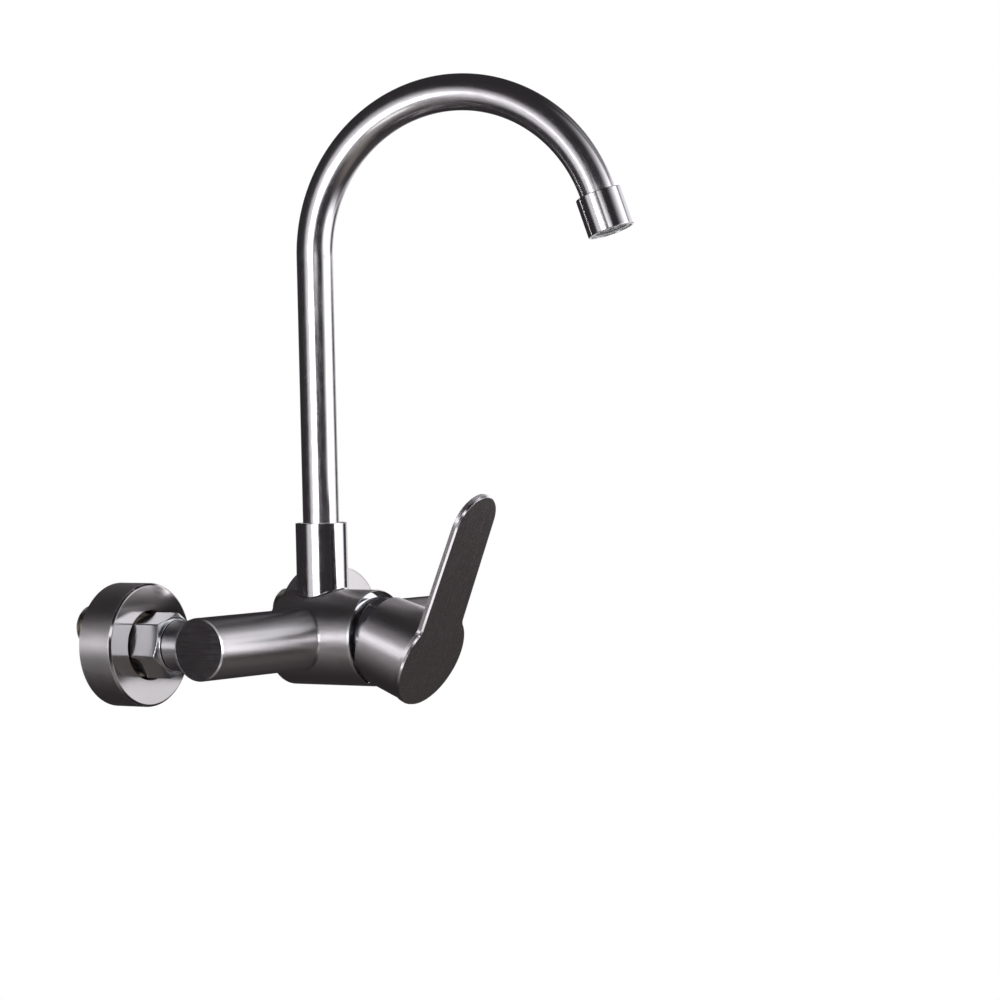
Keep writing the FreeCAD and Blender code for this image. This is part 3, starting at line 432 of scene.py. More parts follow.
def build(name, patches, frame, finishes, slot, body, *nodes):
    """Welds patches into one closed mesh whose faces and corner normals follow the surfaces.

    Equal points become one vertex, a quad with two equal corners a triangle, and a face whose
    winding disagrees with its corners' normals is turned round.
    """
    points = np.concatenate([p.points.reshape(-1, 3) for p in patches])
    normals = np.concatenate([p.normals.reshape(-1, 3) for p in patches])
    grain = np.concatenate([p.grain.reshape(-1, 2) for p in patches]) * MM
    quads, marks, start = [], [], 0
    for p in patches:
        quads.append(grid_quads(*p.points.shape[:2]) + start)
        marks.append(np.full(len(quads[-1]), p.finish))
        start += p.points.shape[0] * p.points.shape[1]
    quads, marks = np.concatenate(quads), np.concatenate(marks)
    keys = np.round(points / WELD_GRID).astype(np.int64)
    _, first, same = np.unique(keys, axis=0, return_index=True, return_inverse=True)
    places, same = points[first], same.reshape(-1)
    spots = places[same[quads]]
    facing = np.cross(spots[:, 2] - spots[:, 0], spots[:, 3] - spots[:, 1])
    wrong = (facing * normals[quads].sum(1)).sum(1) < 0
    quads[wrong] = quads[wrong][:, ::-1]
    corners = same[quads]
    fresh = corners != np.roll(corners, 1, axis=1)
    whole = fresh.all(1)
    three = fresh.sum(1) == 3
    faces = corners[whole].tolist() + corners[three][fresh[three]].reshape(-1, 3).tolist()
    source = np.concatenate([quads[whole].reshape(-1), quads[three][fresh[three]]])
    mesh = bpy.data.meshes.new(name)
    turn, shift = frame[:3, :3], frame[:3, 3]
    mesh.from_pydata(((places @ turn.T + shift) * MM).tolist(), [], faces)
    mesh.polygons.foreach_set("material_index", np.concatenate([marks[whole], marks[three]]).astype(np.int32))
    mesh.shade_smooth()
    layer = mesh.uv_layers.new(name="grain")
    layer.data.foreach_set("uv", grain[source].astype(np.float32).reshape(-1))
    mesh.normals_split_custom_set((normals[source] @ turn.T).tolist())
    for material in finishes:
        mesh.materials.append(material)
    piece = placed(name, mesh)
    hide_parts(*nodes)
    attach(piece, body)
    return piece


# Finishes

def linear(colour):
    """An sRGB hex colour as linear red, green, blue and alpha."""
    parts = [int(colour[i:i + 2], 16) / 255 for i in (1, 3, 5)]
    return [c / 12.92 if c <= 0.04045 else ((c + 0.055) / 1.055) ** 2.4 for c in parts] + [1.0]


def new_material(name):
    """An empty material with its output and surface shader."""
    material = bpy.data.materials.new(name)
    material.use_nodes = True
    return material, material.node_tree, material.node_tree.nodes["Principled BSDF"]


def node(tree, kind, settings=None, **inputs):
    """Adds a node, sets it up, and fills or links its inputs, whose names use _ for spaces."""
    new = tree.nodes.new(kind)
    for key, value in (settings or {}).items():
        setattr(new, key, value)
    for key, value in inputs.items():
        numbered = key[0] == "i" and key[1:].isdigit()
        socket = new.inputs[int(key[1:]) if numbered else key.replace("_", " ")]
        if isinstance(value, bpy.types.NodeSocket):
            tree.links.new(value, socket)
        else:
            socket.default_value = value
    return new


def join(tree, shader, tint, rough, bump):
    """Links colour, roughness and bump to the surface shader.

    The mixing node of the colour also has outputs for numbers.
    """
    colour = next(output for output in tint.outputs if output.type == "RGBA")
    tree.links.new(colour, shader.inputs["Base Color"])
    tree.links.new(rough.outputs[0], shader.inputs["Roughness"])
    tree.links.new(bump.outputs[0], shader.inputs["Normal"])


# Brushing: a line's length in its widths, the clouds' share, and the usual range of the sum
LINE_LENGTH = 60
CLOUD_SHARE = 0.35
NOISE_RANGE = (0.4, 0.95)


def brushed_metal(name, colour, dark, roughness, grain, depth, stretch=0.4, spread=0.08, cloud=0.004):
    """Metal abraded in one direction.

    Noise drawn out along the grain map's v gives fine lines of the given width in metres. They
    move the colour a little, the roughness by the spread, and the surface by the depth.
    """
    material, tree, shader = new_material(name)
    uv = node(tree, "ShaderNodeUVMap", {"uv_map": "grain"})
    lines = node(tree, "ShaderNodeMapping", Vector=uv.outputs[0],
                 Scale=(1 / grain, 1 / (grain * LINE_LENGTH), 1))
    fine = node(tree, "ShaderNodeTexNoise", {"noise_dimensions": "2D"}, Vector=lines.outputs[0], Scale=1.0,
                Detail=3.0, Roughness=0.6)
    place = node(tree, "ShaderNodeTexCoord")
    soft = node(tree, "ShaderNodeTexNoise", Vector=place.outputs["Object"], Scale=1 / cloud, Detail=2.0)
    both = node(tree, "ShaderNodeMath", {"operation": "MULTIPLY_ADD"}, i0=soft.outputs["Fac"],
                i1=CLOUD_SHARE, i2=fine.outputs["Fac"])
    tint = node(tree, "ShaderNodeMix", {"data_type": "RGBA"}, Factor=fine.outputs["Fac"], A=linear(dark),
                B=linear(colour))
    rough = node(tree, "ShaderNodeMapRange", Value=both.outputs[0], From_Min=NOISE_RANGE[0],
                 From_Max=NOISE_RANGE[1], To_Min=roughness - spread, To_Max=roughness + spread)
    bump = node(tree, "ShaderNodeBump", Height=fine.outputs["Fac"], Strength=1.0, Distance=depth)
    tangent = node(tree, "ShaderNodeTangent", {"direction_type": "UV_MAP", "uv_map": "grain"})
    join(tree, shader, tint, rough, bump)
    tree.links.new(tangent.outputs[0], shader.inputs["Tangent"])
    shader.inputs["Metallic"].default_value = 1.0
    shader.inputs["Anisotropic"].default_value = stretch
    return material


# stainless tube polished between belts: the finest lines run round it and spread its highlights lengthwise
tube_steel = brushed_metal("belt_polished_stainless_tube", "#D6D3D3", "#D1CECE", 0.30, 0.00025, 0.0000001,
                           stretch=0.98, spread=0.015)
# stainless spout tube, polished along its length and smoother than the cross tube
spout_steel = brushed_metal("satin_stainless_spout", "#D6D3D3", "#CFCCCC", 0.19, 0.00035, 0.0000005)
# stainless bar, turned and then brushed round: light spreads along the axis, never round it
valve_steel = brushed_metal("turned_stainless_body", "#CFCBCB", "#C4C0C0", 0.42, 0.00030, 0.0000006,
                            stretch=0.92)
socket_steel = brushed_metal("turned_stainless_socket", "#D6D3D3", "#CFCCCC", 0.13, 0.00030, 0.0000004)
# brushed cast stainless lever: cap with rings, plate with lines along the blade
cap_steel = brushed_metal("turned_stainless_cap", "#D3CFCF", "#C8C4C4", 0.48, 0.00030, 0.0000006,
                          stretch=0.94)
plate_steel = brushed_metal("brushed_stainless_plate", "#CAC6C5", "#C0BCBB", 0.24, 0.00035, 0.0000003)
end_steel = brushed_metal("brushed_stainless_end", "#CAC6C5", "#C0BCBB", 0.16, 0.00035, 0.0000005)
edge_steel = brushed_metal("eased_stainless_edge", "#D6D3D3", "#D1CECE", 0.18, 0.00030, 0.0000001,
                           spread=0.01)
# spun stainless escutcheon: brushed side, and a polished face that mirrors the nut
side_steel = brushed_metal("brushed_stainless_escutcheon", "#CDC9C8", "#C2BEBD", 0.42, 0.00030, 0.0000007,
                           stretch=0.85)
face_steel = brushed_metal("polished_stainless_face", "#BFBCBB", "#B8B5B4", 0.13, 0.00040, 0.0000002,
                           stretch=0.3, spread=0.03)
# chromium plate on brass: a cold mirror with the softest polishing marks
chrome = brushed_metal("chromium_plate", "#DCDDDF", "#D6D7D9", 0.08, 0.00060, 0.0000002,
                       stretch=0.1, spread=0.02)
nut_chrome = brushed_metal("satin_chromium_nut", "#DCDDDF", "#D8D9DB", 0.18, 0.00040, 0.0000001, spread=0.02)
# dull nickel plate over the brass of the union
nickel = brushed_metal("nickel_plate", "#A19A90", "#8E877D", 0.32, 0.00035, 0.0000020)


def moulded(name, colour, shade, roughness, grain, depth, **sockets):
    """A moulded or ground surface: noise in real space moves its colour, gloss and height a little."""
    material, tree, shader = new_material(name)
    place = node(tree, "ShaderNodeTexCoord")
    fine = node(tree, "ShaderNodeTexNoise", Vector=place.outputs["Object"], Scale=1 / grain, Detail=4.0)
    tint = node(tree, "ShaderNodeMix", {"data_type": "RGBA"}, Factor=fine.outputs["Fac"], A=linear(shade),
                B=linear(colour))
    rough = node(tree, "ShaderNodeMapRange", Value=fine.outputs["Fac"], From_Min=0.3, From_Max=0.7,
                 To_Min=roughness * 0.85, To_Max=roughness * 1.15)
    bump = node(tree, "ShaderNodeBump", Height=fine.outputs["Fac"], Strength=1.0, Distance=depth)
    join(tree, shader, tint, rough, bump)
    for socket, value in sockets.items():
        shader.inputs[socket.replace("_", " ")].default_value = value
    return material


# machined metal parts inside the mixer
inner_brass = moulded("machined_brass_inside", "#D2AC62", "#B88F4A", 0.28, 0.0006, 0.000004, Metallic=1.0)
inner_steel = moulded("stainless_hardware", "#B9B7B5", "#9C9A98", 0.30, 0.0005, 0.000003, Metallic=1.0)
# moulded nitrile rubber: black, dull, with a fine bloom
rubber = moulded("nitrile_rubber", "#1C1C1D", "#121213", 0.62, 0.0007, 0.000012)
# moulded acetal: milky white and waxy
acetal = moulded("moulded_acetal", "#E9E7E0", "#DAD7CE", 0.38, 0.0009, 0.000006)
# lapped alumina: cream white and almost glossy
alumina = moulded("lapped_alumina", "#ECE8DE", "#DDD8CC", 0.16, 0.0005, 0.000001)
# moulded polyoxymethylene of the aerator: light grey, satin
aerator_grey = moulded("moulded_grey_plastic", "#BFC1C3", "#AEB0B2", 0.36, 0.0008, 0.000006)

# every slot that isn't named here is plain steel
SLOT_FINISH = {"brass": inner_brass, "seal": rubber, "cartridge_plastic": acetal, "ceramic": alumina,
               "aerator_plastic": aerator_grey}
SUBPARTS = {part["node"]: part["material_slot"] for part in frame["record"]["subparts"]}
for label, piece in frame["nodes"].items():
    piece.data.materials.clear()
    piece.data.materials.append(SLOT_FINISH.get(SUBPARTS[label], inner_steel))


# Inlets

def escutcheon():
    """A deep spun cup, its sleeve inside, and a chamfer between its side and its face."""
    face = ESCUTCHEON_DEPTH - ESCUTCHEON_WALL
    edge = ESCUTCHEON_DEPTH - ESCUTCHEON_EDGE
    corners = [
        (ESCUTCHEON_HOLE, SLEEVE_START), (SLEEVE_RADIUS, SLEEVE_START), (SLEEVE_RADIUS, face, 0.5),
        (ESCUTCHEON_RADIUS - ESCUTCHEON_WALL, face, 0.5), (ESCUTCHEON_RADIUS - ESCUTCHEON_WALL, 0),
        (ESCUTCHEON_RADIUS, 0), (ESCUTCHEON_RADIUS, edge, 0.5),
        (ESCUTCHEON_RADIUS - ESCUTCHEON_EDGE, ESCUTCHEON_DEPTH, 0.5),
        (ESCUTCHEON_HOLE, ESCUTCHEON_DEPTH, 0.3)]
    return turned(corners, columns=192, finishes={6: 1, 7: 1})


def union_nut():
    """A hexagon whose corners are cut by two cones.

    The hexagon is a power norm, flat / (sum |cos(angle - side)| ^ p) ^ (1 / p), which rounds its
    corners slightly, and a soft minimum joins it to the cones.
    """
    power, softness = NUT_ROUNDING, NUT_BLEND
    angles = full_turn(361)
    sides = math.radians(NUT_TURN) + np.arange(3) * math.pi / 3 + math.pi / 6
    hexagon = NUT_FLAT / (np.abs(np.cos(angles[:, None] - sides)) ** power).sum(1) ** (1 / power)
    ramp = np.linspace(0, 1, 25) ** 1.3 * NUT_CONE_REACH
    heights = np.concatenate([NUT_START + ramp, NUT_END - ramp[::-1]])[:, None]
    slope = (NUT_FLAT / math.cos(math.pi / 6) - NUT_FLAT) / NUT_CORNER_CUT
    cone = NUT_FLAT + np.minimum(heights - NUT_START, NUT_END - heights) * slope
    both = np.exp(-softness * (hexagon - NUT_FLAT)) + np.exp(-softness * (cone - NUT_FLAT))
    radius = np.minimum(NUT_FLAT - np.log(both) / softness, hexagon)
    patches = [wavy_wall(radius, angles, heights, NUT_FLAT)]
    for height, inner, facing in ((NUT_START, NUT_BORE, -1), (NUT_END, NUT_COLLAR_RADIUS, 1)):
        ring = np.array([radius[0], np.full_like(radius[0], inner)])
        spots = polar(ring, angles, height)
        patches.append(Patch(spots, stack(0 * ring, 0, facing), spots[..., :2]))
    collar = [(NUT_COLLAR_RADIUS, NUT_END), (NUT_COLLAR_RADIUS, NUT_FRONT, 0.35), (NUT_HOLE, NUT_FRONT, 0.25),
              (NUT_HOLE, FLANGE_END), (NUT_BORE, FLANGE_END), (NUT_BORE, NUT_START)]
    return patches + turned(collar, closed=False, angles=angles)


def wall_thread():
    """A hollow thread: the radius falls from its crest by a triangle wave of height - pitch * turns."""
    angles = full_turn(97)
    end = SHOULDER_START + 1
    heights = np.linspace(WALL_THREAD_END, end, 200)[:, None]
    phase = (heights / THREAD_PITCH - angles / FULL) % 1
    wave = np.clip(np.abs(phase * 2 - 1) * THREAD_STEEPNESS - THREAD_FLAT, 0, 1)
    from_end = heights - WALL_THREAD_END
    room = np.clip(from_end / THREAD_PITCH, 0, 1) * np.clip((THREAD_RUNOUT - heights) / THREAD_PITCH, 0, 1)
    entry = np.clip(1 - from_end / THREAD_ENTRY, 0, 1)
    radius = WALL_THREAD_RADIUS - THREAD_DEPTH * (wave * room + entry * (1 - wave * room))
    floor = WALL_THREAD_END + WALL_BORE_DEPTH
    mouth = [(0, floor), (UNION_BORE, floor), (UNION_BORE, WALL_THREAD_END, 0.4),
             (WALL_THREAD_RADIUS - THREAD_DEPTH, WALL_THREAD_END)]
    patches = [wavy_wall(radius, angles, heights, WALL_THREAD_RADIUS)]
    for corners in (mouth, [(WALL_THREAD_RADIUS, end), (0, end)]):
        patches += turned(corners, closed=False, angles=angles)
    return moved(patches, at(0, AXIS_DROP, 0))


def s_union():
    """The eccentric union: a shoulder with a ring groove, the nut's thread, and the wall thread."""
    groove_start, groove_end, groove_floor = RING_GROOVE
    bore_floor = UNION_END - UNION_BORE_DEPTH
    shoulder = turned([
        (0, SHOULDER_START), (SHOULDER_RADIUS, SHOULDER_START, 0.5), (SHOULDER_RADIUS, groove_start),
        (groove_floor, groove_start), (groove_floor, groove_end), (SHOULDER_RADIUS, groove_end),
        (SHOULDER_RADIUS, SHOULDER_END, 0.5), (UNION_THREAD_RADIUS, SHOULDER_END),
        (UNION_THREAD_RADIUS, UNION_END, 0.8), (UNION_BORE, UNION_END), (UNION_BORE, bore_floor),
        (0, bore_floor)], closed=False)
    return shoulder + wall_thread()


# Mixer body

TUBE_MIDDLE = np.array([0.0, 0.0, TUBE_DISTANCE])
VALVE_TUBE, VALVE_MAIN, VALVE_SOCKET, VALVE_BORE = range(4)
VALVE_QUARTER = np.linspace(VALVE_RADIUS * math.pi / 4, -VALVE_RADIUS * math.pi / 4, 33)
VALVE_LOW = np.linspace(VALVE_REAR + VALVE_REAR_EDGE, TUBE_DISTANCE, 17)
VALVE_HIGH = np.linspace(TUBE_DISTANCE, RIM - RIM_EDGE, 23)


class Branch:
    """A tube that leaves the valve at right angles: out is its way, k is beside it, m along the valve."""

    def __init__(self, degrees, radius):
        self.centre = math.radians(degrees)
        self.out = np.array([math.cos(self.centre), math.sin(self.centre), 0])
        self.m = np.array([0.0, 0.0, 1.0])
        self.k = np.cross(self.m, self.out)
        self.radius = radius

    def spot(self, x, y, z):
        """A point or direction given beside, along the valve and outwards."""
        return x[..., None] * self.k + y[..., None] * self.m + z[..., None] * self.out

    def wall(self, t, height, finish):
        """The tube's own surface at angle t and distance out."""
        t, height = np.broadcast_arrays(t, height)
        normals = self.spot(np.cos(t), np.sin(t), 0 * t)
        points = normals * self.radius + self.spot(0 * t, 0 * t, height) + TUBE_MIDDLE
        return Patch(points, normals, stack(height, t * self.radius), finish)

    def end(self, t, corners, **options):
        """A profile (r, distance out) turned about the tube's axis."""
        patches = turned(corners, closed=False, angles=t, **options)
        return moved(patches, frame_of(self.k, self.m, self.out, TUBE_MIDDLE))


def weld_centre(radius, t):
    """Centre of a ball that rolls in the corner of valve and branch, in beside, along and outwards."""
    x = (radius + WELD_RADIUS) * np.cos(t)
    y = (radius + WELD_RADIUS) * np.sin(t)
    return x, y, np.sqrt((VALVE_RADIUS + WELD_RADIUS) ** 2 - x ** 2)


def branch_foot(branch, finish):
    """A quarter of the valve wall with the branch's weld on it.

    The weld is the surface of the rolling ball between its two contact lines. Gives the patches,
    the angles t round the branch and the distance out where its own wall begins.
    """
    def contact(t):
        x, y, z = weld_centre(branch.radius, t)
        return stack(VALVE_RADIUS * np.arctan2(x, z), TUBE_DISTANCE + y)

    grid, t = holed(border(VALVE_QUARTER, VALVE_LOW, VALVE_HIGH), TUBE_DISTANCE, contact)
    points, normals = on_cylinder(VALVE_RADIUS, grid[..., 0], grid[..., 1], branch.centre)
    patches = [Patch(points, normals, grid[..., ::-1], VALVE_MAIN)]
    x, y, z = weld_centre(branch.radius, t)
    t[-1] = 0
    on_branch = stack(np.cos(t), np.sin(t), 0 * t)
    on_valve = stack(x, 0 * t, z) / (VALVE_RADIUS + WELD_RADIUS)
    share = np.linspace(0, 1, 8)[:, None, None]
    angle = np.arccos(np.clip((on_branch * on_valve).sum(-1), -1, 1))[:, None]
    facing = (np.sin((1 - share) * angle) * on_valve + np.sin(share * angle) * on_branch) / np.sin(angle)
    spots = stack(x, y, z) - WELD_RADIUS * facing
    grain = stack(share[..., 0] * WELD_RADIUS, np.unwrap(t) * branch.radius)
    patches.append(Patch(branch.spot(*np.moveaxis(spots, -1, 0)) + TUBE_MIDDLE,
                         branch.spot(*np.moveaxis(facing, -1, 0)), grain, finish))
    t[-1] = FULL
    return patches, t, z


def branch_rows(branch, t, start, end, rows, finish):
    """The branch's wall from a wavy start to a level end."""
    share = np.linspace(0, 1, rows + 1)[:, None]
    return branch.wall(t, start + (end - start) * share, finish)


def branch_window(branch, t, low, high, hole, depth, finish):
    """The branch's wall with a round hole towards the wall, and the hole's own wall to a depth."""
    middle = int(np.argmin(np.abs(t - math.pi)))
    front = branch.wall(t[:middle + 1], np.concatenate([low, high[1:]])[:, None], finish)
    us = (t[middle:][::-1] - 1.5 * math.pi) * branch.radius
    grid, s = holed(border(us, low, high), low[-1], drilled(branch.radius, hole, low[-1]))
    back = branch.wall(1.5 * math.pi + grid[..., 0] / branch.radius, grid[..., 1], finish)
    top = np.sqrt(branch.radius ** 2 - (hole * np.cos(s)) ** 2)
    reach = top + (depth - top) * np.linspace(0, 1, 7)[:, None]
    s[-1] = 0
    ring = branch.spot(hole * np.cos(s), 0 * s, low[-1] + hole * np.sin(s)) + TUBE_MIDDLE
    inward = 1 if depth > branch.radius else -1
    normals = branch.spot(np.cos(s), 0 * s, np.sin(s)) * inward
    tunnel = Patch(ring - reach[..., None] * branch.m, np.broadcast_to(normals, (*reach.shape, 3)),
                   stack(reach, s * hole), finish)
    return [front, back, tunnel], s


def neck_end(branch, s, level, corners, finish):
    """A profile (r, depth) turned about the axis of a branch's side hole."""
    patches = spun(corners, s, np.linspace(0, FULL, len(s)) * corners[0][0], finish=finish)
    return moved(patches, frame_of(branch.k, branch.out, -branch.m, branch.out * level + TUBE_MIDDLE))


def mixer_body():
    """The welded body: valve cylinder, two tubes with necks towards the wall, and the spout's socket."""
    patches = []
    neck_length, neck_floor = TUBE_DISTANCE - NECK_START, TUBE_DISTANCE - NECK_DEPTH
    neck = [(NECK_RADIUS, neck_length), (NECK_BORE, neck_length), (NECK_BORE, neck_floor), (0, neck_floor)]
    tube_end = [(TUBE_RADIUS, TUBE_END), (TUBE_BORE, TUBE_END), (TUBE_BORE, TUBE_CORE), (0, TUBE_CORE)]
    for degrees in (0, 180):
        tube = Branch(degrees, TUBE_RADIUS)
        foot, t, start = branch_foot(tube, VALVE_TUBE)
        low, high = np.linspace(INLET_X - NECK_WINDOW, INLET_X, 15), np.linspace(INLET_X, TUBE_END, 14)
        window, s = branch_window(tube, t, low, high, NECK_RADIUS, neck_length, VALVE_TUBE)
        patches += foot + [branch_rows(tube, t, start, low[0], 10, VALVE_TUBE)] + window
        patches += neck_end(tube, s, INLET_X, neck, VALVE_BORE) + tube.end(t, tube_end, finish=VALVE_BORE)
    socket = Branch(90, SOCKET_RADIUS)
    foot, t, start = branch_foot(socket, VALVE_SOCKET)
    wall_end = SOCKET_TOP - SOCKET_EDGE
    low, high = np.linspace(GRUB_HEIGHT - GRUB_WINDOW, GRUB_HEIGHT, 8), np.linspace(GRUB_HEIGHT, wall_end, 9)
    grub_depth = SOCKET_BORE - GRUB_BREAKTHROUGH
    window, _ = branch_window(socket, t, low, high, GRUB_HOLE, grub_depth, VALVE_SOCKET)
    mouth = [(SOCKET_RADIUS, wall_end), (SOCKET_RADIUS, SOCKET_TOP, SOCKET_EDGE), (SOCKET_BORE, SOCKET_TOP),
             (SOCKET_BORE, SOCKET_FLOOR), (0, SOCKET_FLOOR)]
    patches += foot + [branch_rows(socket, t, start, low[0], 8, VALVE_SOCKET)] + window
    patches += socket.end(t, mouth, finish=VALVE_SOCKET, finishes={2: VALVE_BORE, 3: VALVE_BORE})
    u, v = np.broadcast_arrays(-VALVE_QUARTER, np.concatenate([VALVE_LOW, VALVE_HIGH[1:]])[:, None])
    points, normals = on_cylinder(VALVE_RADIUS, u, v, 1.5 * math.pi)
    patches.append(Patch(points, normals, stack(v, u), VALVE_MAIN))
    quarters = [math.radians(degrees) + np.linspace(-math.pi / 4, math.pi / 4, 33)[:-1]
                for degrees in (0, 90, 180, 270)]
    angles = np.concatenate(quarters + [[math.radians(-45)]])
    lengths = np.linspace(0, FULL, len(angles)) * VALVE_RADIUS
    rim = [(VALVE_RADIUS, RIM - RIM_EDGE), (VALVE_RADIUS - RIM_CHAMFER, RIM),
           (MOUTH_RADIUS + MOUTH_RELIEF, RIM), (MOUTH_RADIUS, RELIEF_START),
           (MOUTH_RADIUS, MOUTH_FLOOR), (THREAD_BORE, MOUTH_FLOOR),
           (THREAD_BORE, THREAD_FLOOR), (CARTRIDGE_BORE, THREAD_FLOOR), (CARTRIDGE_BORE, CARTRIDGE_SEAT),
           (0, CARTRIDGE_SEAT)]
    rear = [(0, VALVE_REAR), (VALVE_RADIUS, VALVE_REAR, VALVE_REAR_EDGE),
            (VALVE_RADIUS, VALVE_REAR + VALVE_REAR_EDGE)]
    for corners, finishes in ((rim, {i: VALVE_BORE for i in range(2, 9)}), (rear, {})):
        patches += spun(corners, angles, lengths, finish=VALVE_MAIN, finishes=finishes)
    return patches


def end_cap():
    """A turned disc with a spigot in the tube and a chamfered edge."""
    spigot = TUBE_BORE - SPIGOT_GAP
    inside = spigot - SPIGOT_WALL
    corners = [
        (0, 0), (inside, 0), (inside, -CAP_SPIGOT), (spigot, -CAP_SPIGOT), (spigot, 0), (TUBE_RADIUS, 0),
        (TUBE_RADIUS, CAP_THICKNESS - CAP_EDGE_DEPTH, 0.15), (TUBE_RADIUS - CAP_EDGE, CAP_THICKNESS, 0.2),
        (0, CAP_THICKNESS)]
    return turned(corners, closed=False, planar=True, finishes={7: 1})


def trim_dome():
    """A flanged ring that ends in a ball zone, open in front for the lever's stem."""
    def zone(radius, start, end, count):
        swing = np.linspace(start, end, count)
        return [(radius * math.cos(a), PIVOT + radius * math.sin(a), 5) for a in swing]

    inner = BALL_RADIUS - BALL_WALL
    start = -math.asin(math.sqrt(BALL_RADIUS ** 2 - TRIM_RADIUS ** 2) / BALL_RADIUS)
    outside = zone(BALL_RADIUS, start, math.acos(BALL_OPENING / BALL_RADIUS), 40)
    inside = zone(inner, math.acos(BALL_OPENING / inner), -math.acos(TRIM_BORE / inner), 24)
    flange = MOUTH_FLOOR + TRIM_FLANGE_THICKNESS
    return turned([(TRIM_BORE, MOUTH_FLOOR), (TRIM_FLANGE, MOUTH_FLOOR), (TRIM_FLANGE, flange, 0.3),
                   (TRIM_RADIUS, flange, 0.2), *outside, *inside])


# Lever

PLATE_FACE, PLATE_BEVEL, CAP_SIDE = range(3)


def arc(middle, radius, start, end, count):
    """Points of a circular arc and the directions from its middle, between two angles in degrees."""
    angles = np.radians(np.linspace(start, end, count))
    away = stack(np.cos(angles), np.sin(angles))
    return np.array(middle) + radius * away, away


def blade_outline():
    """The plate's outline, anticlockwise: head circle, hollow blends, straight sides and round tip."""
    blend_x = BLADE_HALF + BLADE_BLEND
    blend_y = PLATE_RISE + math.sqrt((HEAD_RADIUS + BLADE_BLEND) ** 2 - blend_x ** 2)
    tip_y = PLATE_RISE + BLADE_REACH - TIP_RADIUS
    meet = math.degrees(math.atan2(blend_y - PLATE_RISE, blend_x))
    side = stack(np.linspace(BLADE_HALF, TIP_RADIUS, 9), np.linspace(blend_y, tip_y, 9))
    lean = np.array([tip_y - blend_y, BLADE_HALF - TIP_RADIUS])
    lean /= math.hypot(*lean)
    tip, tip_normals = arc((0, tip_y), TIP_RADIUS, 0, 180, 49)
    head, head_normals = arc((0, PLATE_RISE), HEAD_RADIUS, 180 - meet, 360 + meet, 121)
    left, left_normals = arc((-blend_x, blend_y), BLADE_BLEND, 0, -meet, 13)
    right, right_normals = arc((blend_x, blend_y), BLADE_BLEND, 180 + meet, 180, 13)
    flip = np.array([-1, 1])
    points = np.concatenate([side[:-1], tip[:-1], (side * flip)[::-1][:-1], left[:-1], head[:-1], right])
    normals = np.concatenate([
        np.broadcast_to(lean, (8, 2)), tip_normals[:-1], np.broadcast_to(lean * flip, (8, 2)),
        -left_normals[:-1], head_normals[:-1], -right_normals])
    normals[0] = normals[-1] = lean
    return points, normals


def plate():
    """The lever's flat plate: a small chamfer round its outline, and faces drawn in to its middle line."""
    outline, normals = blade_outline()
    lengths = np.r_[0, np.cumsum(np.linalg.norm(np.diff(outline, axis=0), axis=1))]
    edge = profile([(-PLATE_INSET, -PLATE_THICKNESS), (0, -PLATE_THICKNESS, 0.2), (0, -PLATE_CHAMFER, 0.15),
                    (-PLATE_EDGE, 0, 0.15), (-PLATE_INSET, 0)], closed=False)
    patches = carried(edge, outline, normals, lengths, planar=True, finishes={1: CAP_SIDE, 2: PLATE_BEVEL})
    rim = outline - normals * PLATE_INSET
    middle = stack(0 * rim[:, 0], np.clip(rim[:, 1], PLATE_RISE, PLATE_RISE + BLADE_REACH - TIP_RADIUS))
    face = rim + (middle - rim) * np.linspace(0, 1, 9)[:, None, None]
    for height, facing in ((0.0, 1), (-PLATE_THICKNESS, -1)):
        spots = stack(face[..., 0], face[..., 1], height)
        patches.append(Patch(spots, stack(0 * face[..., 0], 0, facing), face, PLATE_FACE))
    return moved(patches, at(0, 0, PLATE_DISTANCE) @ about("X", PLATE_LEAN))


CONE_SLOPE = (CAP_FRONT_RADIUS - CAP_REAR_RADIUS) / (PLATE_DISTANCE - CAP_START)


def cone_at(angle, s, inset=0.0):
    """A point and normal of the cap's cone: its radius grows evenly with the distance s."""
    radius = CAP_REAR_RADIUS + CONE_SLOPE * (s - CAP_START) - inset
    return polar(radius, angle, s), polar(1, angle, -CONE_SLOPE + 0 * s)


def cone_end(angle, depth, inset=0.0):
    """Distance at which the cone meets the plane that lies depth behind the plate's leaning front."""
    lean = math.radians(PLATE_LEAN)
    level = PLATE_DISTANCE - depth / math.cos(lean)
    rise = np.sin(angle) * math.tan(lean)
    base = CAP_REAR_RADIUS - CONE_SLOPE * CAP_START - inset
    return (level + base * rise) / (1 - CONE_SLOPE * rise)


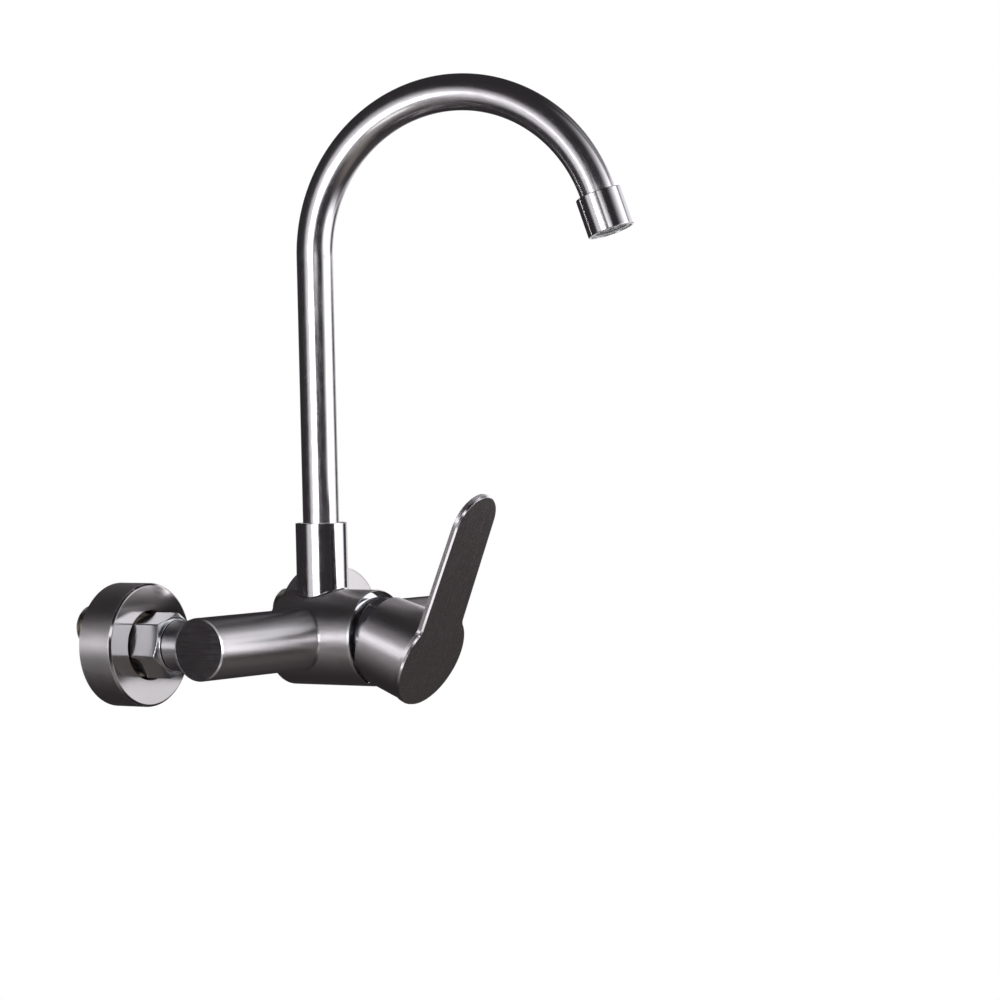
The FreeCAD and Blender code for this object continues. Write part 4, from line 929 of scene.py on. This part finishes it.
def cap():
    """The lever's cap: a hollow cone from its rim to the plate, with the screw's access hole underneath."""
    low_start = CAP_START + CAP_RIM_EDGE
    quarter = np.linspace(math.pi / 4, -math.pi / 4, 37)
    below = 1.5 * math.pi
    local = CAP_REAR_RADIUS + CONE_SLOPE * (ACCESS_DISTANCE - CAP_START)
    side_top = cone_end(below + quarter[0], PLATE_THICKNESS / 2)
    low, high = np.linspace(low_start, ACCESS_DISTANCE, 12), np.linspace(ACCESS_DISTANCE, side_top, 6)
    outer = border(quarter * local, low, high)
    level = outer[:, 1] >= side_top - 1e-9
    outer[level, 1] = cone_end(below + outer[level, 0] / local, PLATE_THICKNESS / 2)
    grid, t = holed(outer, ACCESS_DISTANCE, drilled(local, ACCESS_RADIUS, ACCESS_DISTANCE), rows=10)
    points, normals = cone_at(below + grid[..., 0] / local, grid[..., 1])
    patches = [Patch(points, normals, grid[..., ::-1], CAP_SIDE)]
    hole = points[-1]
    levels = np.concatenate([low, high[1:]])[:, None]
    rest = np.linspace(-math.pi / 4, 1.25 * math.pi, 109)
    ends = cone_end(rest, PLATE_THICKNESS / 2)
    stretch = low_start + (levels - low_start) * (ends - low_start) / (side_top - low_start)
    points, normals = cone_at(rest, stretch)
    patches.append(Patch(points, normals, stack(stretch, (rest - below) * local), CAP_SIDE))
    t[-1] = 0
    floor = stack(hole[:, 0], -ACCESS_FLOOR, hole[:, 2])
    tunnel = hole + (floor - hole) * np.linspace(0, 1, 5)[:, None, None]
    facing = np.broadcast_to(stack(-np.cos(t), 0 * t, -np.sin(t)), tunnel.shape)
    patches.append(Patch(tunnel, facing, stack(tunnel[..., 1], t * ACCESS_RADIUS), CAP_SIDE))
    angles = np.concatenate([below + quarter[::-1][:-1], rest + FULL])
    angles = np.where(angles > FULL, angles - FULL, angles)
    lengths = np.linspace(0, FULL, len(angles)) * CAP_REAR_RADIUS
    bore = CAP_REAR_RADIUS - CAP_WALL
    rim = [(bore, low_start), (bore, CAP_START, 0.15), (CAP_REAR_RADIUS - CAP_RIM_EDGE / 2, CAP_START, 0.15),
           (CAP_REAR_RADIUS + CONE_SLOPE * CAP_RIM_EDGE, low_start)]
    patches += spun(rim, angles, lengths, finish=CAP_SIDE)
    inside = cone_end(angles, PLATE_THICKNESS + CAP_TOP_GAP, CAP_WALL)
    stretch = low_start + (inside - low_start) * np.linspace(0, 1, 4)[:, None]
    radius = bore + CONE_SLOPE * (stretch - low_start)
    points = polar(radius, angles, stretch)
    patches.append(Patch(points, -polar(1, angles, 0 * stretch), stack(stretch, lengths), CAP_SIDE))
    top_ring = cone_at(angles, cone_end(angles, PLATE_THICKNESS / 2))[0]
    lean = math.radians(PLATE_LEAN)
    outward = np.array([0, -math.sin(lean), math.cos(lean)])
    for loop, side in ((points[-1], -1), (top_ring, 1)):
        disc = loop + (loop[:-1].mean(0) - loop) * np.linspace(0, 1, 3)[:, None, None]
        patches.append(Patch(disc, np.broadcast_to(outward * side, disc.shape), disc[..., :2], CAP_SIDE))
    hub_end = PLATE_DISTANCE - PLATE_THICKNESS / 2
    hub = [(0, HUB_START), (HUB_RADIUS, HUB_START, 0.4), (HUB_RADIUS, hub_end), (0, hub_end)]
    return patches + turned(hub, closed=False, columns=48, planar=True, finish=CAP_SIDE)


# Spout

def spout_tube():
    """A circle carried along a leg, an arch and a short straight end, closed a little way inside."""
    leg = np.linspace(SPOUT_START, SPOUT_RISE, 60)
    sweep = np.radians(np.linspace(0, ARCH_SWEEP, 162))[1:]
    last = np.linspace(0, SPOUT_END, 4)[1:]
    x = np.concatenate([0 * leg, ARCH_RADIUS - ARCH_RADIUS * np.cos(sweep)])
    z = np.concatenate([leg, SPOUT_RISE + ARCH_RADIUS * np.sin(sweep)])
    x = np.concatenate([x, x[-1] + last * math.sin(SWEEP)])
    z = np.concatenate([z, z[-1] + last * math.cos(SWEEP)])
    lengths = np.r_[0, np.cumsum(np.hypot(np.diff(x), np.diff(z)))][:, None]
    lean = np.concatenate([0 * leg, sweep, np.full(len(last), SWEEP)])[:, None]
    angles, around = full_turn(129), np.linspace(0, FULL, 129)
    normals = stack(np.cos(angles) * np.cos(lean), np.sin(angles) + 0 * lean, -np.cos(angles) * np.sin(lean))
    centre = stack(x, 0 * x, z)[:, None]
    patches = [Patch(centre + SPOUT_RADIUS * normals, normals, stack(around * SPOUT_RADIUS, lengths))]
    stations = ((SPOUT_RADIUS, 0), (SPOUT_BORE, 0), (SPOUT_BORE, SPOUT_STOP), (0, SPOUT_STOP))
    for row, inward in ((0, 1), (-1, -1)):
        direction = np.array([math.sin(lean[row, 0]), 0, math.cos(lean[row, 0])]) * inward
        circle = normals[row]
        rings = [centre[row] + circle * radius + direction * depth for radius, depth in stations]
        for i, facing in enumerate((-direction, -circle, -direction)):
            spots = np.array(rings[i:i + 2])
            grain = stack(around * stations[i][0], np.zeros((2, 1)))
            patches.append(Patch(spots, np.broadcast_to(facing, spots.shape), grain))
    return patches


def outlet_collar():
    """The sleeve on the spout's end, bored for the tube and the aerator."""
    tube = SPOUT_RADIUS + 0.05
    return turned([(tube, 0), (OUTLET_RADIUS, 0, OUTLET_EDGE), (OUTLET_RADIUS, OUTLET_LENGTH, OUTLET_EDGE),
                   (OUTLET_THREAD, OUTLET_LENGTH, 0.2), (OUTLET_THREAD, WASHER_TOP), (SPOUT_BORE, WASHER_TOP),
                   (SPOUT_BORE, SPOUT_END), (tube, SPOUT_END)])


def aerator_shell():
    """The aerator's threaded ring with its lip round the mouth."""
    return turned([(SHELL_BORE, SHELL_TOP), (SHELL_RADIUS, SHELL_TOP), (SHELL_RADIUS, SHELL_BOTTOM, 0.35),
                   (SHELL_LIP, SHELL_BOTTOM, 0.25), (SHELL_LIP, LIP_TOP), (SHELL_BORE, LIP_TOP)], planar=True)


# Pieces

for side, sign in (("left", -1), ("right", 1)):
    inlet = WALL @ at(INLET_X * sign, 0, 0)
    build(f"spun_escutcheon_{side}", escutcheon(), inlet, [side_steel, face_steel], "brushed_steel", "root",
          f"escutcheon_{side}")
    build(f"hexagon_nut_{side}", union_nut(), inlet, [nut_chrome], "chrome", "root", f"union_nut_{side}")
    build(f"eccentric_union_{side}", s_union(), inlet, [nickel], "brass", "root", f"s_union_{side}")
    tube_end = at(TUBE_END * sign, -TUBE_DISTANCE, -AXIS_DROP) @ about("Y", 90 * sign)
    build(f"tube_end_{side}", end_cap(), tube_end, [tube_steel, end_steel], "polished_steel", "root",
          f"end_cap_{side}")
build("welded_body", mixer_body(), WALL, [tube_steel, valve_steel, socket_steel, inner_steel],
      "polished_steel", "root", "mixer_body")
build("bright_dome", trim_dome(), WALL, [chrome], "chrome", "root", "trim_dome")
build("lever", plate() + cap(), LEVER, [plate_steel, edge_steel, cap_steel], "lever_steel", "lever",
      "lever_handle")
build("arched_spout", spout_tube(), SPOUT, [spout_steel], "polished_steel", "spout", "spout_tube")
build("spout_collar", outlet_collar(), OUTLET, [socket_steel], "polished_steel", "spout", "outlet_collar")
build("aerator_ring", aerator_shell(), OUTLET, [aerator_grey], "aerator_plastic", "spout", "aerator_shell")


# Stage

FLOOR_HEIGHT = -0.35
FLOOR_HALF = 8.0
FLOOR_FADE = (0.45, 0.95)
TENT_RADIUS = 1.0
TENT_SHADE = 0.035
COOL, WARM, DUSK = np.array([[0.98, 0.98, 1.03], [1.08, 0.97, 0.88], [1.03, 0.94, 1.06]])
CENTRE = Vector((0.0, -0.11, 0.1))
SHADE_LEVEL = 0.55

# Lit panels: strength, then the angles over which the left, right, bottom and top edges fade
COOL_PANELS = (
    (8.0, (-98, -90), (-77, -67), (-17, -8), (4, 13)),
    (1.7, (-64, -56), (-43, -35), (5, 8), (18, 24)),
    (1.5, (-91, -86), (-74, -69), (-44, -40), (-32, -27)),
    (1.1, (50, 58), (92, 112), (4, 10), (24, 31)),
    (0.9, (88, 98), (112, 126), (-20, -10), (20, 34)),
    (0.5, (50, 60), (90, 100), (-26, -18), (-16, -8)),
    (0.26, (44, 54), (72, 90), (26, 34), (44, 62)))
WARM_PANELS = (
    (0.18, (-130, -80), (0, 50), (-76, -50), (-50, -22)),
    (0.03, (40, 60), (100, 130), (-74, -54), (-24, -14)))

# Lamps: name, place, side of the square and power
LAMPS = (("key_lamp", (-1.3, -1.1, 1.3), 1.2, 22), ("fill_lamp", (1.2, -1.4, 0.8), 1.4, 10))

CAMERA_PLACE = Vector((-1.482846, -1.256617, 0.114050))
CAMERA_ANGLES = (53.893, 1.716, -1.304)
LENS = 139.537
SENSOR = 36.0


def ease(value, low, high):
    """Zero below low, one above high, and a smooth step between."""
    share = np.clip((value - low) / (high - low), 0, 1)
    return share * share * (3 - 2 * share)


def panel(azimuth, elevation, left, right, bottom, top):
    """A lit area between pairs of angles: each pair is where an edge begins and where it is full."""
    return (ease(azimuth, *left) * (1 - ease(azimuth, *right)) * ease(elevation, *bottom)
            * (1 - ease(elevation, *top)))


def tail(value, start, length):
    """One above start, and below it a slow fall that halves about every 0.7 of the length."""
    return np.exp(np.minimum(value - start, 0) / length)


def sheet(name, points, material):
    """A sheet of the stage through a grid of points."""
    quads = np.roll(grid_quads(*points.shape[:2])[:, ::-1], 1, axis=1)
    mesh = bpy.data.meshes.new(name)
    mesh.from_pydata(points.reshape(-1, 3).tolist(), [], quads.tolist())
    mesh.materials.append(material)
    return placed(name, mesh)


def surroundings():
    """A tent that only reflections see: cool soft boxes, dark screens between them, and a warm floor."""
    azimuth = np.radians(np.linspace(-180, 180, 361))
    elevation = np.radians(np.linspace(-90, 90, 181))[:, None]
    away = stack(np.sin(azimuth) * np.cos(elevation), -np.cos(azimuth) * np.cos(elevation), np.sin(elevation))
    az, el = np.broadcast_arrays(np.degrees(azimuth), np.degrees(elevation))
    drift = np.clip(-12 - el, 0, 40)
    left_box = (0.85 * ease(az, -128, -112) * (1 - ease(az, -76 + drift, -62 + drift))
                * (1 - ease(el, 10, 42)) * tail(el, -8, 20))
    slant = np.clip(el + 5, 0, 40)
    lower_edge = np.clip(az - 38, 0, 14)
    upper_edge = np.clip(az - 40, 0, 12) / 12
    front_box = ((2.6 - ease(az, 36, 48)) * ease(az, -14, 14 + slant) * (1 - ease(az, 58, 70))
                 * ease(el, -34 + lower_edge, -8) * (1 - ease(el, 14 - upper_edge * 3, 74 - upper_edge * 54)))
    cool = left_box + front_box + sum(strength * panel(az, el, *edges) for strength, *edges in COOL_PANELS)
    warm = sum(strength * panel(az, el, *edges) for strength, *edges in WARM_PANELS)
    colour = cool[..., None] * COOL + warm[..., None] * WARM + TENT_SHADE * DUSK
    colour = np.concatenate([colour, 0 * colour[..., :1] + 1], -1)
    material, tree, shader = new_material("studio_panels")
    tree.nodes.remove(shader)
    pattern = node(tree, "ShaderNodeAttribute", {"attribute_name": "glow"})
    glow = node(tree, "ShaderNodeEmission", Strength=1.0, Color=pattern.outputs["Color"])
    tree.links.new(glow.outputs[0], tree.nodes["Material Output"].inputs["Surface"])
    material.cycles.emission_sampling = "FRONT_BACK"
    tent = sheet("surroundings", away * TENT_RADIUS + np.array(CENTRE), material)
    tent.data.shade_smooth()
    layer = tent.data.attributes.new("glow", "FLOAT_COLOR", "POINT")
    layer.data.foreach_set("color", colour.astype(np.float32).reshape(-1))
    for ray in ("camera", "diffuse", "transmission", "volume_scatter", "shadow"):
        setattr(tent, f"visible_{ray}", False)


def floor():
    """A pale floor that fades to plain white for the camera away from the object."""
    steps = np.linspace(-FLOOR_HALF, FLOOR_HALF, 9)
    material, tree, shader = new_material("pale_floor")
    shader.inputs["Base Color"].default_value = linear("#EDEDEC")
    shader.inputs["Roughness"].default_value = 0.8
    place = node(tree, "ShaderNodeNewGeometry")
    away = node(tree, "ShaderNodeVectorMath", {"operation": "DISTANCE"}, i0=place.outputs["Position"],
                i1=(CENTRE.x, CENTRE.y, FLOOR_HEIGHT))
    fade = node(tree, "ShaderNodeMapRange", {"interpolation_type": "SMOOTHSTEP"}, Value=away.outputs["Value"],
                From_Min=FLOOR_FADE[0], From_Max=FLOOR_FADE[1])
    ray = node(tree, "ShaderNodeLightPath")
    seen = node(tree, "ShaderNodeMath", {"operation": "MULTIPLY"}, i0=fade.outputs[0],
                i1=ray.outputs["Is Camera Ray"])
    white = node(tree, "ShaderNodeEmission", Strength=1.0)
    mix = node(tree, "ShaderNodeMixShader", i0=seen.outputs[0], i1=shader.outputs[0], i2=white.outputs[0])
    tree.links.new(mix.outputs[0], tree.nodes["Material Output"].inputs["Surface"])
    ground = sheet("studio_floor", stack(steps, steps[:, None], FLOOR_HEIGHT), material)
    ground.visible_glossy = False


def studio_light():
    """White surroundings for the eye, a plain soft level on the object, and two large soft lamps."""
    world = bpy.data.worlds.new("studio")
    world.use_nodes = True
    tree = world.node_tree
    background = tree.nodes["Background"]
    background.inputs["Color"].default_value = linear("#FFFFFF")
    ray = node(tree, "ShaderNodeLightPath")
    direct = node(tree, "ShaderNodeMath", {"operation": "MAXIMUM"}, i0=ray.outputs["Is Camera Ray"],
                  i1=ray.outputs["Is Glossy Ray"])
    clear = node(tree, "ShaderNodeMath", {"operation": "MAXIMUM"}, i0=direct.outputs[0],
                 i1=ray.outputs["Is Transmission Ray"])
    level = node(tree, "ShaderNodeMapRange", Value=clear.outputs[0], To_Min=SHADE_LEVEL, To_Max=1.0)
    tree.links.new(level.outputs[0], background.inputs["Strength"])
    bpy.context.scene.world = world
    for name, spot, size, power in LAMPS:
        data = bpy.data.lights.new(name, "AREA")
        data.shape = "SQUARE"
        data.size = size
        data.energy = power
        lamp = placed(name, data)
        lamp.location = spot
        lamp.rotation_euler = (CENTRE - Vector(spot)).to_track_quat("-Z", "Y").to_euler()
        lamp.visible_glossy = False


def camera():
    """The photograph's view through a long lens, from its heading, pitch and roll."""
    heading, pitch, roll = (math.radians(angle) for angle in CAMERA_ANGLES)
    level = math.cos(pitch)
    ahead = Vector((math.sin(heading) * level, math.cos(heading) * level, -math.sin(pitch)))
    right = Vector((math.cos(heading), -math.sin(heading), 0))
    up = right.cross(ahead)
    side = right * math.cos(roll) + up * math.sin(roll)
    top = up * math.cos(roll) - right * math.sin(roll)
    data = bpy.data.cameras.new("photo_camera")
    data.lens = LENS
    data.sensor_width = SENSOR
    data.sensor_fit = "HORIZONTAL"
    eye = placed("photo_camera", data)
    eye.matrix_world = Matrix.Translation(CAMERA_PLACE) @ Matrix((side, top, -ahead)).transposed().to_4x4()
    bpy.context.scene.camera = eye


surroundings()
floor()
studio_light()
camera()
bpy.context.scene.view_settings.view_transform = "Standard"
